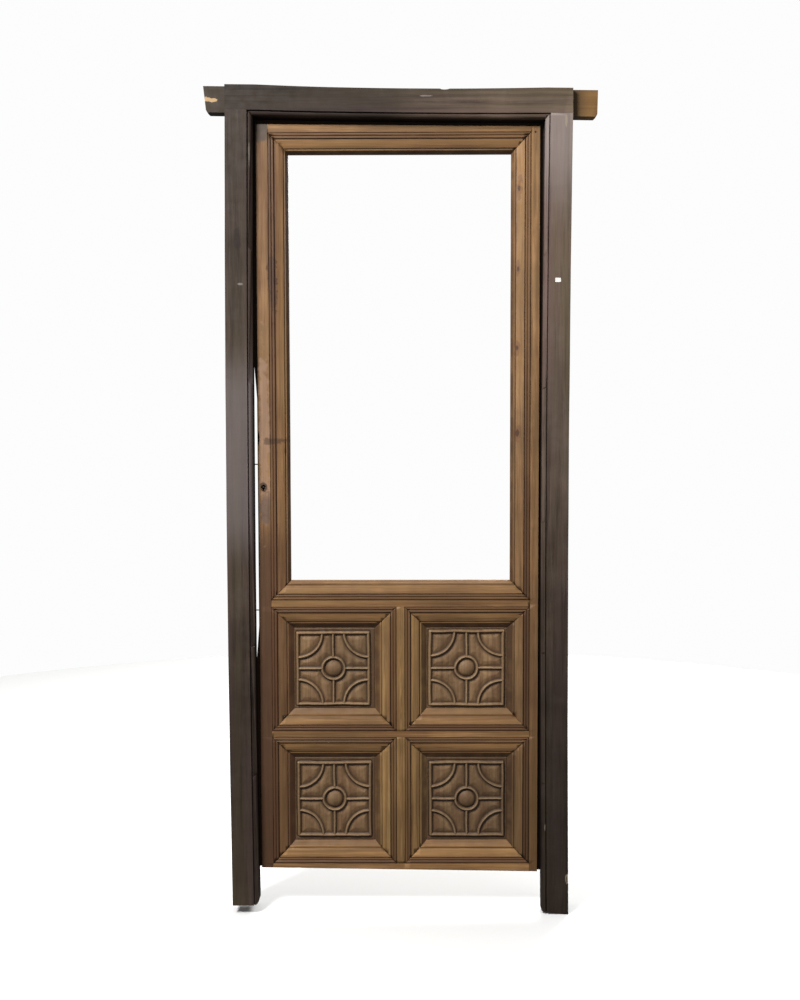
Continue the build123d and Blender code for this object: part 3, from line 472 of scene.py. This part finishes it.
# Frame pegs: riven dowels of paler wood, driven from the back through the head and the tenons
# of the jambs, and cut off flush.
PEG_TONES = ((0.06, 0.035, 0.018), (0.13, 0.082, 0.045), (0.20, 0.14, 0.085))
peg_finish = OldTimber("peg_timber", "Z", PEG_TONES, 5.0).finish()
worn_copy("frame_pegs", "frame_dowels", "frame", peg_finish, "X", arris=0.0006, station=0.2, dents=0.0)

# Lock stile: the leaf's left upright, of honey-coloured pine. Its mouldings are struck in the
# solid, dirt has gathered in their quirks, and handling has darkened it below the keyhole.
LEAF_TONES = ((0.100, 0.045, 0.018), (0.240, 0.125, 0.052), (0.360, 0.208, 0.098))
LIP_WIDTH = 0.012
LEAF_TOP, LEAF_FALL = 2.1650, 0.0104
MOULDING_WIDTH = 0.0535
REEDS_WIDTH = 0.020
SLOPE_FROM = 0.044
# each quirk's place inside its box, its half width and how dirty it is; the last one is the
# back of the fillet
QUIRKS = ((0.001, 0.0022, 0.80), (0.009, 0.0020, 0.62), (0.0172, 0.0030, 0.82), (0.042, 0.0026, 0.78))
leaf_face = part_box("stile_lock")[0].y
face_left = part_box("stile_lock")[0].x + LIP_WIDTH
face_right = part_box("stile_hinge")[1].x - LIP_WIDTH


def moulded_reach(node, axis):
    """Where the moulded box round a panel begins and ends."""
    low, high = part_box(node)
    return low[axis] - MOULDING_WIDTH, high[axis] + MOULDING_WIDTH


boxes_across = (moulded_reach("panel_upper_left", 0), moulded_reach("panel_upper_right", 0))
light_across = (boxes_across[0][0], boxes_across[1][1])
light_up = (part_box("rail_middle")[1].z - MOULDING_WIDTH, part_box("rail_top")[0].z + MOULDING_WIDTH)
boxes_up = (moulded_reach("panel_lower_left", 2), moulded_reach("panel_upper_left", 2), light_up)
light_from = (boxes_up[1][1] + light_up[0]) / 2


def moulding_group():
    """How far a point of the face lies inside the nearest moulded box, how far from its mitres,
    and whether it is on the box's lower side."""
    group = bpy.data.node_groups.new("inside_moulding", "ShaderNodeTree")
    group.interface.new_socket("Place", in_out="INPUT", socket_type="NodeSocketVector")
    for output in ("Inside", "Mitre", "Sill"):
        group.interface.new_socket(output, in_out="OUTPUT", socket_type="NodeSocketFloat")
    source = group.nodes.new("NodeGroupInput")
    split = wire(group, "ShaderNodeSeparateXYZ", {0: source.outputs[0]})
    x, z = split.outputs[0], split.outputs[2]

    def inside(value, limits):
        return reckon(group, "MINIMUM", minus(group, value, limits[0]), minus(group, limits[1], value))

    def deepest(value, boxes):
        depths = [inside(value, limits) for limits in boxes]
        while len(depths) > 1:
            depths.append(reckon(group, "MAXIMUM", depths.pop(0), depths.pop(0)))
        return depths[0]

    is_light = reckon(group, "GREATER_THAN", z, light_from)
    in_light = times(group, inside(x, light_across), is_light)
    in_panels = times(group, deepest(x, boxes_across), minus(group, 1.0, is_light))
    deep_x = plus(group, in_light, in_panels)
    deep_z = deepest(z, boxes_up)
    # the lower side of a box looks up into the light, so its slope gets less painted shade
    low_half = 0.0
    for low, high in boxes_up:
        over = reckon(group, "GREATER_THAN", z, low)
        under = reckon(group, "LESS_THAN", z, (low + high) / 2)
        low_half = plus(group, times(group, over, under), low_half)
    results = {
        "Inside": reckon(group, "MINIMUM", deep_x, deep_z),
        "Mitre": reckon(group, "ABSOLUTE", minus(group, deep_x, deep_z)),
        "Sill": times(group, low_half, reckon(group, "LESS_THAN", deep_z, deep_x)),
    }
    wire(group, "NodeGroupOutput", results)
    return group


inside_moulding = moulding_group()


def soil_and_shade_mouldings(timber):
    """Dark wiped reeds, painted shade on the slopes shut in behind the fillet, and black dirt in the quirks.
    """
    tree = timber.tree
    finder = wire(tree, "ShaderNodeGroup", node_tree=inside_moulding)
    tree.links.new(timber.place, finder.inputs[0])
    into = plus(tree, finder.outputs["Inside"], timber.ragged(0.0014))
    front = between(tree, timber.y, 0.009, 0.005)
    reeds = times(
        tree,
        between(tree, into, 0.0, 0.002),
        between(tree, into, REEDS_WIDTH, REEDS_WIDTH - 0.002),
        front,
        between(tree, speckle(tree, timber.fibre_place, 14.0, 4.0, 0.6), 0.35, 0.65, 0.50, 0.90),
    )
    timber.veil(reeds, (0.098, 0.046, 0.021))
    # painted shade on the inner slopes, lighter on the lower sides that face up
    painted_shade_on_slopes = times(
        tree,
        between(tree, finder.outputs["Sill"], 0.0, 1.0, 0.80, 0.38),
        between(tree, into, SLOPE_FROM, SLOPE_FROM + 0.005),
        front,
        between(tree, speckle(tree, timber.place, 22.0, 3.0), 0.25, 0.6, 0.55, 1.0),
    )
    timber.veil(painted_shade_on_slopes, (0.056, 0.027, 0.014))
    mitres = between(tree, finder.outputs["Mitre"], 0.0012, 0.0003, 0.0, 0.45)
    grime = times(tree, mitres, between(tree, into, 0.0, 0.0006))
    for line, half_width, depth in QUIRKS:
        gap = reckon(tree, "ABSOLUTE", minus(tree, into, line))
        dirt = between(tree, gap, half_width, half_width * 0.15, 0.0, depth)
        grime = reckon(tree, "MAXIMUM", grime, dirt)
    worn_off = between(tree, speckle(tree, timber.fibre_place, 40.0, 3.0, 0.6), 0.35, 0.62, 0.50, 1.0)
    timber.veil(times(tree, grime, front, worn_off), (0.030, 0.014, 0.008))


def blacken_lip(timber):
    """The lip in the rebate, and the edges down to it, lie in shade: they are painted near black as painted
    shade.
    """
    tree = timber.tree
    past_top = reckon(tree, "MULTIPLY_ADD", timber.x, LEAF_FALL, -LEAF_TOP)
    over = between(tree, plus(tree, timber.z, past_top), -0.0006, 0.0001)
    left = between(tree, timber.x, face_left + 0.0007, face_left + 0.0001)
    right = between(tree, timber.x, face_right - 0.0007, face_right - 0.0001)
    lip = reckon(tree, "MAXIMUM", over, reckon(tree, "MAXIMUM", left, right))
    in_rebate = between(tree, timber.y, 0.0300, 0.0260)
    timber.veil(times(tree, lip, in_rebate, 0.90), (0.011, 0.007, 0.005))


def leaf_timber(name, grain, seed, tones=LEAF_TONES):
    """Pine of the leaf, honey to red-brown, with its dirt, its painted shade and its dark checks."""
    timber = OldTimber(name, grain, tones, seed, contrast=1.15)
    timber.wander((0.130, 0.050, 0.022), 0.40, 26.0)
    timber.wander((0.165, 0.100, 0.042), 0.55, 120.0, 0.46, 0.62)
    timber.wander((0.078, 0.036, 0.017), 0.50, 13.0, 0.54, 0.70)
    timber.wander((0.300, 0.165, 0.060), 0.40, 33.0)
    timber.wander((0.080, 0.036, 0.017), 0.50, 70.0, 0.52, 0.74)
    soil_and_shade_mouldings(timber)
    timber.pores(0.7, (0.040, 0.018, 0.009))
    timber.pores(0.5, (0.060, 0.026, 0.012), (110.0, 0.64, 0.76))
    blacken_lip(timber)
    return timber


lock_stile_timber = leaf_timber("pine_lock_stile", "Z", 23.0)
# painted light and shade along the stile, darker lower down
lock_stile_timber.shade_along(
    0.1, 2.2, (0.0, 0.80), (0.15, 0.68), (0.32, 0.72), (0.46, 0.85), (0.52, 0.98), (0.8, 0.82), (1.0, 0.66)
)
tree = lock_stile_timber.tree
low_down = between(tree, lock_stile_timber.z, 1.16, 0.98)
flat_edge = light_across[0]
on_flat = between(tree, lock_stile_timber.x, flat_edge + 0.00055, flat_edge - 0.00065)
lock_stile_timber.veil(times(tree, low_down, 0.35), (0.085, 0.034, 0.016))
lock_stile_timber.veil(times(tree, low_down, on_flat, 0.70), (0.062, 0.030, 0.017))
# the flat is rubbed pale above the keyhole and grey below it
lock_stile_timber.patch((-0.3765, 1.33), (0.016, 0.240), (0.320, 0.205, 0.145), 0.45, 0.8, leaf_face)
lock_stile_timber.patch((-0.3745, 1.128), (0.017, 0.040), (0.080, 0.058, 0.052), 0.60, 0.8, leaf_face)
# darker grey in the top corner of the flat
corner_line = plus(tree, lock_stile_timber.z, lock_stile_timber.ragged(0.03))
top_corner_darkening = between(tree, corner_line, 2.118, 2.132, 0.0, 0.88)
on_face = between(tree, lock_stile_timber.y, leaf_face + 0.004, leaf_face)
lock_stile_timber.veil(times(tree, top_corner_darkening, on_face, on_flat), (0.052, 0.040, 0.031))
# two knots, a stain across the reeds with a run down from it, and the dark round the keyhole
lock_stile_timber.patch((-0.3509, 1.765), (0.012, 0.045), (0.036, 0.018, 0.012), 0.62, 1.5)
lock_stile_timber.patch((-0.3459, 1.700), (0.010, 0.050), (0.036, 0.018, 0.012), 0.55, 1.5)
lock_stile_timber.patch((-0.3460, 1.313), (0.028, 0.009), (0.036, 0.018, 0.011), 0.60, 1.4)
lock_stile_timber.patch((-0.3185, 1.290), (0.0020, 0.028), (0.020, 0.010, 0.006), 0.80, 0.9)
lock_stile_timber.patch((-0.3796, 1.187), (0.0105, 0.014), (0.030, 0.018, 0.012), 0.80, 0.5, leaf_face)
worn_copy("stile_lock", "lock_stile", "leaf", lock_stile_timber.finish(), "Z", arris=0.0010, seed=4)

# Hinge stile: the leaf's right upright, of the same pine and struck with the same mouldings.
# It is knotty and a little paler, with one small nail hole near its top.
KNOT_EDGE, KNOT_HEART = (0.120, 0.050, 0.022), (0.040, 0.018, 0.010)
hinge_stile_timber = leaf_timber("pine_hinge_stile", "Z", 31.0)
# painted light and shade up the stile, darker towards the bottom
hinge_stile_timber.shade_along(
    0.1, 2.2, (0.0, 0.55), (0.2, 0.66), (0.4, 0.80), (0.6, 0.86), (0.85, 0.95), (1.0, 1.0)
)
for knot_x, knot_z, knot_size in (
    (0.3213, 1.9977, 0.006),
    (0.3194, 1.78, 0.0045),
    (0.3174, 1.566, 0.005),
    (0.3182, 1.334, 0.006),
):
    knot = (knot_x, knot_z)
    hinge_stile_timber.patch(knot, (knot_size * 1.5, knot_size * 5.0), KNOT_EDGE, 0.50, 1.2)
    hinge_stile_timber.patch(knot, (knot_size * 0.7, knot_size * 1.6), KNOT_HEART, 0.75, 0.9)
hinge_stile_timber.patch((0.3648, 2.1458), (0.0028, 0.0032), (0.008, 0.005, 0.004), 1.0, 0.1, leaf_face)
worn_copy("stile_hinge", "hinge_stile", "leaf", hinge_stile_timber.finish(), "Z", arris=0.0010, seed=5)

# Rails: four cross-pieces of pine tenoned into the stiles. Each carries the mouldings of the
# boxes above and below it, mitred to the stiles' at the corners.
RAIL_TONES = ((0.100, 0.046, 0.017), (0.245, 0.125, 0.047), (0.365, 0.205, 0.088))
for rail_node, rail_name, rail_seed, rail_shade in (
    ("rail_top", "top_rail", 37, 0.78),
    ("rail_middle", "middle_rail", 41, 0.88),
    ("rail_cross", "cross_rail", 47, 0.92),
    ("rail_bottom", "bottom_rail", 53, 1.12),
):
    rail_timber = leaf_timber("pine_" + rail_name, "X", rail_seed, RAIL_TONES)
    rail_timber.shade_along(-0.4, 0.4, (0.0, rail_shade * 0.95), (0.5, rail_shade), (1.0, rail_shade * 1.05))
    worn_copy(rail_node, rail_name, "leaf", rail_timber.finish(), "X", arris=0.0010, seed=rail_seed)

# Muntins: two short uprights of yellower pine between the carved panels, tenoned into the
# rails above and below them and moulded as they are.
MUNTIN_TONES = ((0.110, 0.056, 0.019), (0.245, 0.138, 0.050), (0.375, 0.235, 0.098))
for muntin_node, muntin_name, muntin_seed, muntin_shade in (
    ("muntin_upper", "upper_muntin", 59, 0.98),
    ("muntin_lower", "lower_muntin", 61, 1.05),
):
    muntin_timber = leaf_timber("pine_" + muntin_name, "Z", muntin_seed, MUNTIN_TONES)
    muntin_timber.shade_along(0.1, 0.9, (0.0, muntin_shade * 0.9), (1.0, muntin_shade))
    muntin_finish = muntin_timber.finish()
    worn_copy(muntin_node, muntin_name, "leaf", muntin_finish, "Z", arris=0.0010, seed=muntin_seed)

# Leaf pegs: small dowels of the same wood as the frame's, driven from the back through the
# tenons of the rails, and flush with the back.
worn_copy("leaf_pegs", "leaf_dowels", "leaf", peg_finish, "X", arris=0.0006, station=0.2, dents=0.0)

# Carved panels: four boards of pine, held by tongues in the grooves round them. Each is carved
# by hand in one piece: a square rim, two bars that cross at a ring round a domed boss, and a
# quarter arc in every corner. The ground is soft and hollow where the gouge ran out.
PANEL_TONES = ((0.095, 0.050, 0.022), (0.185, 0.105, 0.048), (0.270, 0.170, 0.085))
PANEL_FIELD, PANEL_BACK = 0.006, 0.022
TONGUE_FRONT, TONGUE_BACK = 0.007, 0.017
TONGUE = 0.008
BACK_CHAMFER = 0.001
CARVING_STEP = 0.0012
RIDGE_RISE = 0.008
# each ridge's rise and half its base
RIM_RIDGE, RING_RIDGE = (RIDGE_RISE, 0.0055), (RIDGE_RISE, 0.0050)
BAR_RIDGE, ARC_RIDGE = (0.0072, 0.0046), (0.00736, 0.0048)
RING_RADIUS, ARC_RADIUS = 0.0310, 0.0685
BOSS_RADIUS, BOSS_RISE = 0.0232, 0.0108
BORDER_RISE, PILLOW_RISE = 0.0016, 0.0036
HAND_WAVER, TOOL_MARKS = 0.0016, 0.00036


def soft_step(value, low, high):
    share = min(max((value - low) / (high - low), 0.0), 1.0)
    return share * share * (3.0 - 2.0 * share)


def ridge(distance, rise, half_base):
    """Height of a carved ridge this far from its middle line: a round crest on steep sides."""
    return rise * (1.0 - (distance / half_base) ** 1.7) if distance < half_base else 0.0


def carve(x, z, half_rim_x, half_rim_z, hand):
    """Height of the carving at a place from the panel's middle, and how far the ridges are."""
    wander = noise.noise_vector(Vector((x * 16.0 + hand, z * 16.0, hand)))
    x += wander.x * HAND_WAVER
    z += wander.y * HAND_WAVER
    in_x, in_z = half_rim_x - abs(x), half_rim_z - abs(z)
    inside = min(in_x, in_z)
    rim_distance = inside if inside > 0.0 else math.hypot(min(in_x, 0.0), min(in_z, 0.0))
    rim = ridge(rim_distance, *RIM_RIDGE)
    border = BORDER_RISE * soft_step(rim_distance, 0.0060, 0.0085) if inside < 0.0 else 0.0
    radius = math.hypot(x, z)
    ring = ridge(abs(radius - RING_RADIUS), *RING_RIDGE)
    boss = BOSS_RISE * (1.0 - (radius / BOSS_RADIUS) ** 2) ** 0.7 if radius < BOSS_RADIUS else 0.0
    bars, arc, nearest = 0.0, 0.0, 0.0
    if inside > -0.002 and radius > RING_RADIUS:
        bars = ridge(min(abs(x), abs(z)), *BAR_RIDGE)
        from_arc = abs(math.hypot(in_x, in_z) - ARC_RADIUS)
        arc = ridge(from_arc, *ARC_RIDGE)
        nearest = min(abs(x), abs(z), from_arc, radius - RING_RADIUS, max(inside, 0.0))
    pillow = PILLOW_RISE * soft_step(nearest, 0.0040, 0.0210)
    tool = noise.noise(Vector((x * 120.0, z * 120.0, hand * 3.0))) * TOOL_MARKS
    return max(rim, border, ring, boss, bars, arc, pillow) + tool, nearest


def panel_timber(name, seed, shade):
    """Pine rubbed pale and painted lighter on the ridges and crests, with dirt and painted shade in the
    hollows and along the foot of a ridge.
    """
    timber = OldTimber(name, "Z", PANEL_TONES, seed, contrast=0.85)
    tree = timber.tree
    relief, shelter, openness = (
        wire(tree, "ShaderNodeAttribute", attribute_name=layer).outputs["Fac"]
        for layer in ("relief", "shelter", "openness")
    )
    timber.wander((0.120, 0.055, 0.026), 0.45, 26.0)
    # painted shade in the ground near the foot of the ridges
    low_down = between(tree, relief, 0.45, 0.15)
    shut_in = between(tree, openness, 1.0, 0.0, 0.0, 0.72)
    timber.veil(times(tree, low_down, shut_in), (0.066, 0.034, 0.016))
    # raised parts and crests lighter: wear, and a painted highlight
    rubbed_and_highlit = between(tree, timber.mottle, 0.25, 0.65, 0.50, 1.0)
    raised = between(tree, relief, 0.60, 0.98, 0.0, 0.40)
    timber.veil(times(tree, raised, rubbed_and_highlit), (0.205, 0.125, 0.060))
    crest = between(tree, shelter, -0.45, -1.10, 0.0, 0.70)
    timber.veil(times(tree, crest, rubbed_and_highlit), (0.370, 0.285, 0.180))
    # dark in the hollows: dirt and painted shade
    timber.veil(between(tree, shelter, 0.10, 0.95, 0.0, 0.72), (0.024, 0.013, 0.007))
    timber.shade_along(0.0, 1.0, (0.0, shade), (1.0, shade))
    return timber


def carved_panel(node, name, seed, rim, shade):
    """A panel with its rim's width, height and offset from the middle of the board."""
    low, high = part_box(node)
    centre = (low + high) / 2
    half_x, half_z = (high.x - low.x) / 2, (high.z - low.z) / 2
    bm = bmesh.new()
    lie = Matrix.Translation((centre.x, 0.0, centre.z)) @ Matrix.Rotation(math.pi / 2, 4, "X")
    bmesh.ops.create_grid(
        bm,
        x_segments=int(2 * half_x / CARVING_STEP),
        y_segments=int(2 * half_z / CARVING_STEP),
        size=1.0,
        matrix=lie @ Matrix.Diagonal((half_x, half_z, 1.0, 1.0)),
    )
    relief = bm.verts.layers.float.new("relief")
    shelter = bm.verts.layers.float.new("shelter")
    openness = bm.verts.layers.float.new("openness")
    rim_width, rim_height, shift_x, shift_z = rim
    for vert in bm.verts:
        x, z = vert.co.x - centre.x, vert.co.z - centre.z
        height, room = carve(x - shift_x, z - shift_z, rim_width / 2, rim_height / 2, seed)
        from_edge = min(half_x - abs(x), half_z - abs(z))
        held = soft_step(from_edge, TONGUE - 0.0006, TONGUE + 0.0012)
        front = min(PANEL_FIELD - height, TONGUE_FRONT)
        vert.co.y = TONGUE_FRONT + (front - TONGUE_FRONT) * held
        vert[relief] = height / RIDGE_RISE * held
        vert[openness] = soft_step(room, 0.0045, 0.0150)
    # how many millimetres each point lies below those around it: dirt stays in the hollows, and they get
    # painted shade
    for vert in bm.verts:
        around = [edge.other_vert(vert) for edge in vert.link_edges]
        wide = [edge.other_vert(near) for near in around for edge in near.link_edges]
        wider = [edge.other_vert(near) for near in wide for edge in near.link_edges]
        mean = sum(other.co.y for other in wider) / len(wider)
        vert[shelter] = (vert.co.y - mean) * 1000.0
    border = [edge for edge in bm.edges if edge.is_boundary]
    for back, shrink in (
        (TONGUE_BACK, 0.0),
        (TONGUE_BACK, TONGUE),
        (PANEL_BACK - BACK_CHAMFER, TONGUE),
        (PANEL_BACK, TONGUE + BACK_CHAMFER),
    ):
        made = bmesh.ops.extrude_edge_only(bm, edges=border)["geom"]
        border = [part for part in made if isinstance(part, bmesh.types.BMEdge)]
        for vert in (part for part in made if isinstance(part, bmesh.types.BMVert)):
            x, z = vert.co.x - centre.x, vert.co.z - centre.z
            vert.co.x = centre.x + min(max(x, shrink - half_x), half_x - shrink)
            vert.co.z = centre.z + min(max(z, shrink - half_z), half_z - shrink)
            vert.co.y = back
            vert[relief] = vert[shelter] = vert[openness] = 0.0
    bmesh.ops.contextual_create(bm, geom=border)
    bmesh.ops.remove_doubles(bm, verts=bm.verts, dist=1e-6)
    bmesh.ops.recalc_face_normals(bm, faces=bm.faces)
    mesh = mesh_from(bm, name)
    mesh.shade_smooth()
    mesh.set_sharp_from_angle(angle=math.radians(60.0))
    for face in mesh.polygons:
        face.use_smooth = face.center.y < TONGUE_BACK - 0.001
    mesh.materials.append(panel_timber("carved_pine_" + name, seed, shade).finish(0.0004, 0.35))
    piece = put_in_scene(name, mesh)
    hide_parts(node)
    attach(piece, "leaf")


for panel_corner, panel_seed, panel_rim, panel_shade in (
    ("upper_left", 71.0, (0.1975, 0.2000, -0.0035, -0.0010), 0.95),
    ("upper_right", 73.0, (0.2030, 0.2060, -0.0010, 0.0), 1.04),
    ("lower_left", 79.0, (0.2000, 0.2050, -0.0015, 0.0), 0.92),
    ("lower_right", 83.0, (0.2020, 0.2060, 0.0, 0.0), 0.85),
):
    panel_name = "carved_panel_" + panel_corner
    carved_panel("panel_" + panel_corner, panel_name, panel_seed, panel_rim, panel_shade)

# Ironwork: wrought hinges with their pins and screws, the rim lock with its bolt, post and
# keeper, and two nails in the worn edge. All of it is dark pitted iron with patches of rust,
# screwed or driven into the timber.
IRON_DARK, IRON_MIDDLE, IRON_LIGHT = (0.018, 0.016, 0.015), (0.060, 0.052, 0.047), (0.10, 0.09, 0.085)
RUST = (0.125, 0.048, 0.018)
# what the names of the iron pieces start with
IRON_NAMES = ("hinge_", "frame_hinge", "leaf_hinge", "lock_", "keeper", "key_", "edge_nail")
iron = bpy.data.materials.new("old_iron_dark")
iron.use_nodes = True
tree = iron.node_tree
tree.nodes.clear()
place = wire(tree, "ShaderNodeTexCoord").outputs["Object"]
moved = wire(tree, "ShaderNodeMapping", {"Vector": place, "Location": (2.0, 1.0, 0.0)}).outputs[0]
cloud = speckle(tree, moved, 60.0, 5.0, 0.6)
iron_colour = ramp(tree, cloud, (0.25, IRON_DARK), (0.6, IRON_MIDDLE), (0.85, IRON_LIGHT))
rusty = between(tree, speckle(tree, moved, 95.0, 6.0, 0.7), 0.48, 0.68, 0.0, 0.4)
pits = speckle(tree, moved, 420.0, 4.0, 0.65)
iron_feeds = {
    "Base Color": lay_over(tree, rusty, iron_colour, RUST),
    "Roughness": between(tree, pits, 0.3, 0.7, 0.42, 0.75),
    "Metallic": 0.75,
}
uneven_surface(tree, iron_feeds, pits, 0.6, 0.0002)
for node_name in sorted(nodes):
    if node_name.startswith(IRON_NAMES):
        mesh = nodes[node_name].data
        for index in range(len(mesh.materials)):
            mesh.materials[index] = iron

# Dealer's sticker: a small blank label of white paper, a tenth of a millimetre thick, stuck
# on the face of the right jamb.
LABEL_PLACE = (0.4232, -0.04798, 1.7445)
LABEL_HALF_WIDTH, LABEL_HALF_HEIGHT = 0.0075, 0.0055
LABEL_THICKNESS = 0.0001
bm = bmesh.new()
bmesh.ops.create_grid(
    bm,
    x_segments=6,
    y_segments=4,
    size=1.0,
    matrix=Matrix.Translation(LABEL_PLACE)
    @ Matrix.Rotation(math.pi / 2, 4, "X")
    @ Matrix.Diagonal((LABEL_HALF_WIDTH, LABEL_HALF_HEIGHT, 1.0, 1.0)),
)
bmesh.ops.solidify(bm, geom=bm.faces[:], thickness=LABEL_THICKNESS)
label_mesh = mesh_from(bm, "blank_label")
label = put_in_scene("blank_label", label_mesh)
paper = bpy.data.materials.new("label_paper")
paper.use_nodes = True
tree = paper.node_tree
paper_shader = tree.nodes["Principled BSDF"]
paper_place = wire(tree, "ShaderNodeTexCoord").outputs["Object"]
paper_mottle = speckle(tree, paper_place, 300.0)
paper_tone = ramp(tree, paper_mottle, (0.3, (0.70, 0.67, 0.62)), (0.7, (0.82, 0.80, 0.77)))
tree.links.new(paper_tone, paper_shader.inputs["Base Color"])
paper_shader.inputs["Roughness"].default_value = 0.7
label_mesh.materials.append(paper)
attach(label, "frame")

# Studio: a round pale floor that runs out into white air, with a soft light from the upper
# left, one from behind, a wide one over the floor and a weak one from the right.
FLOOR_RADIUS = 3.8
AIR_SEEN, AIR_LIGHT = 0.98, 0.22
bm = bmesh.new()
bmesh.ops.create_circle(bm, cap_ends=True, segments=96, radius=FLOOR_RADIUS)
floor_mesh = mesh_from(bm, "studio_floor")
floor = put_in_scene("studio_floor", floor_mesh)
pale = bpy.data.materials.new("pale_floor")
pale.use_nodes = True
pale_shader = pale.node_tree.nodes["Principled BSDF"]
pale_shader.inputs["Base Color"].default_value = (0.83, 0.83, 0.82, 1.0)
pale_shader.inputs["Roughness"].default_value = 0.85
floor_mesh.materials.append(pale)
floor.visible_diffuse = False
floor.visible_glossy = False

world = bpy.data.worlds.new("studio_air")
bpy.context.scene.world = world
world.use_nodes = True
air = world.node_tree
air.nodes.clear()
rays = wire(air, "ShaderNodeLightPath").outputs["Is Camera Ray"]
glow = reckon(air, "MULTIPLY_ADD", rays, AIR_SEEN - AIR_LIGHT, AIR_LIGHT)
background = wire(air, "ShaderNodeBackground", {"Color": (1.0, 1.0, 1.0, 1.0), "Strength": glow})
wire(air, "ShaderNodeOutputWorld", {"Surface": background.outputs[0]})


def soft_light(name, place, aim, size, power):
    data = bpy.data.lights.new(name, "AREA")
    data.shape = "RECTANGLE"
    data.size, data.size_y = size
    data.energy = power
    lamp = put_in_scene(name, data)
    lamp.visible_camera = False
    lamp.location = place
    lamp.rotation_euler = (Vector(aim) - Vector(place)).to_track_quat("-Z", "Y").to_euler()


soft_light("key_light", (-1.7, -2.3, 3.5), (0.0, 0.0, 1.1), (1.0, 0.8), 200.0)
soft_light("fill_light", (2.8, -2.5, 1.8), (0.0, 0.0, 1.2), (1.5, 2.0), 10.0)
soft_light("back_light", (1.2, 3.0, 3.2), (0.0, 0.0, 1.2), (2.0, 1.5), 170.0)
soft_light("ceiling_light", (0.0, 1.0, 5.5), (0.0, 1.0, 0.0), (9.0, 9.0), 250.0)
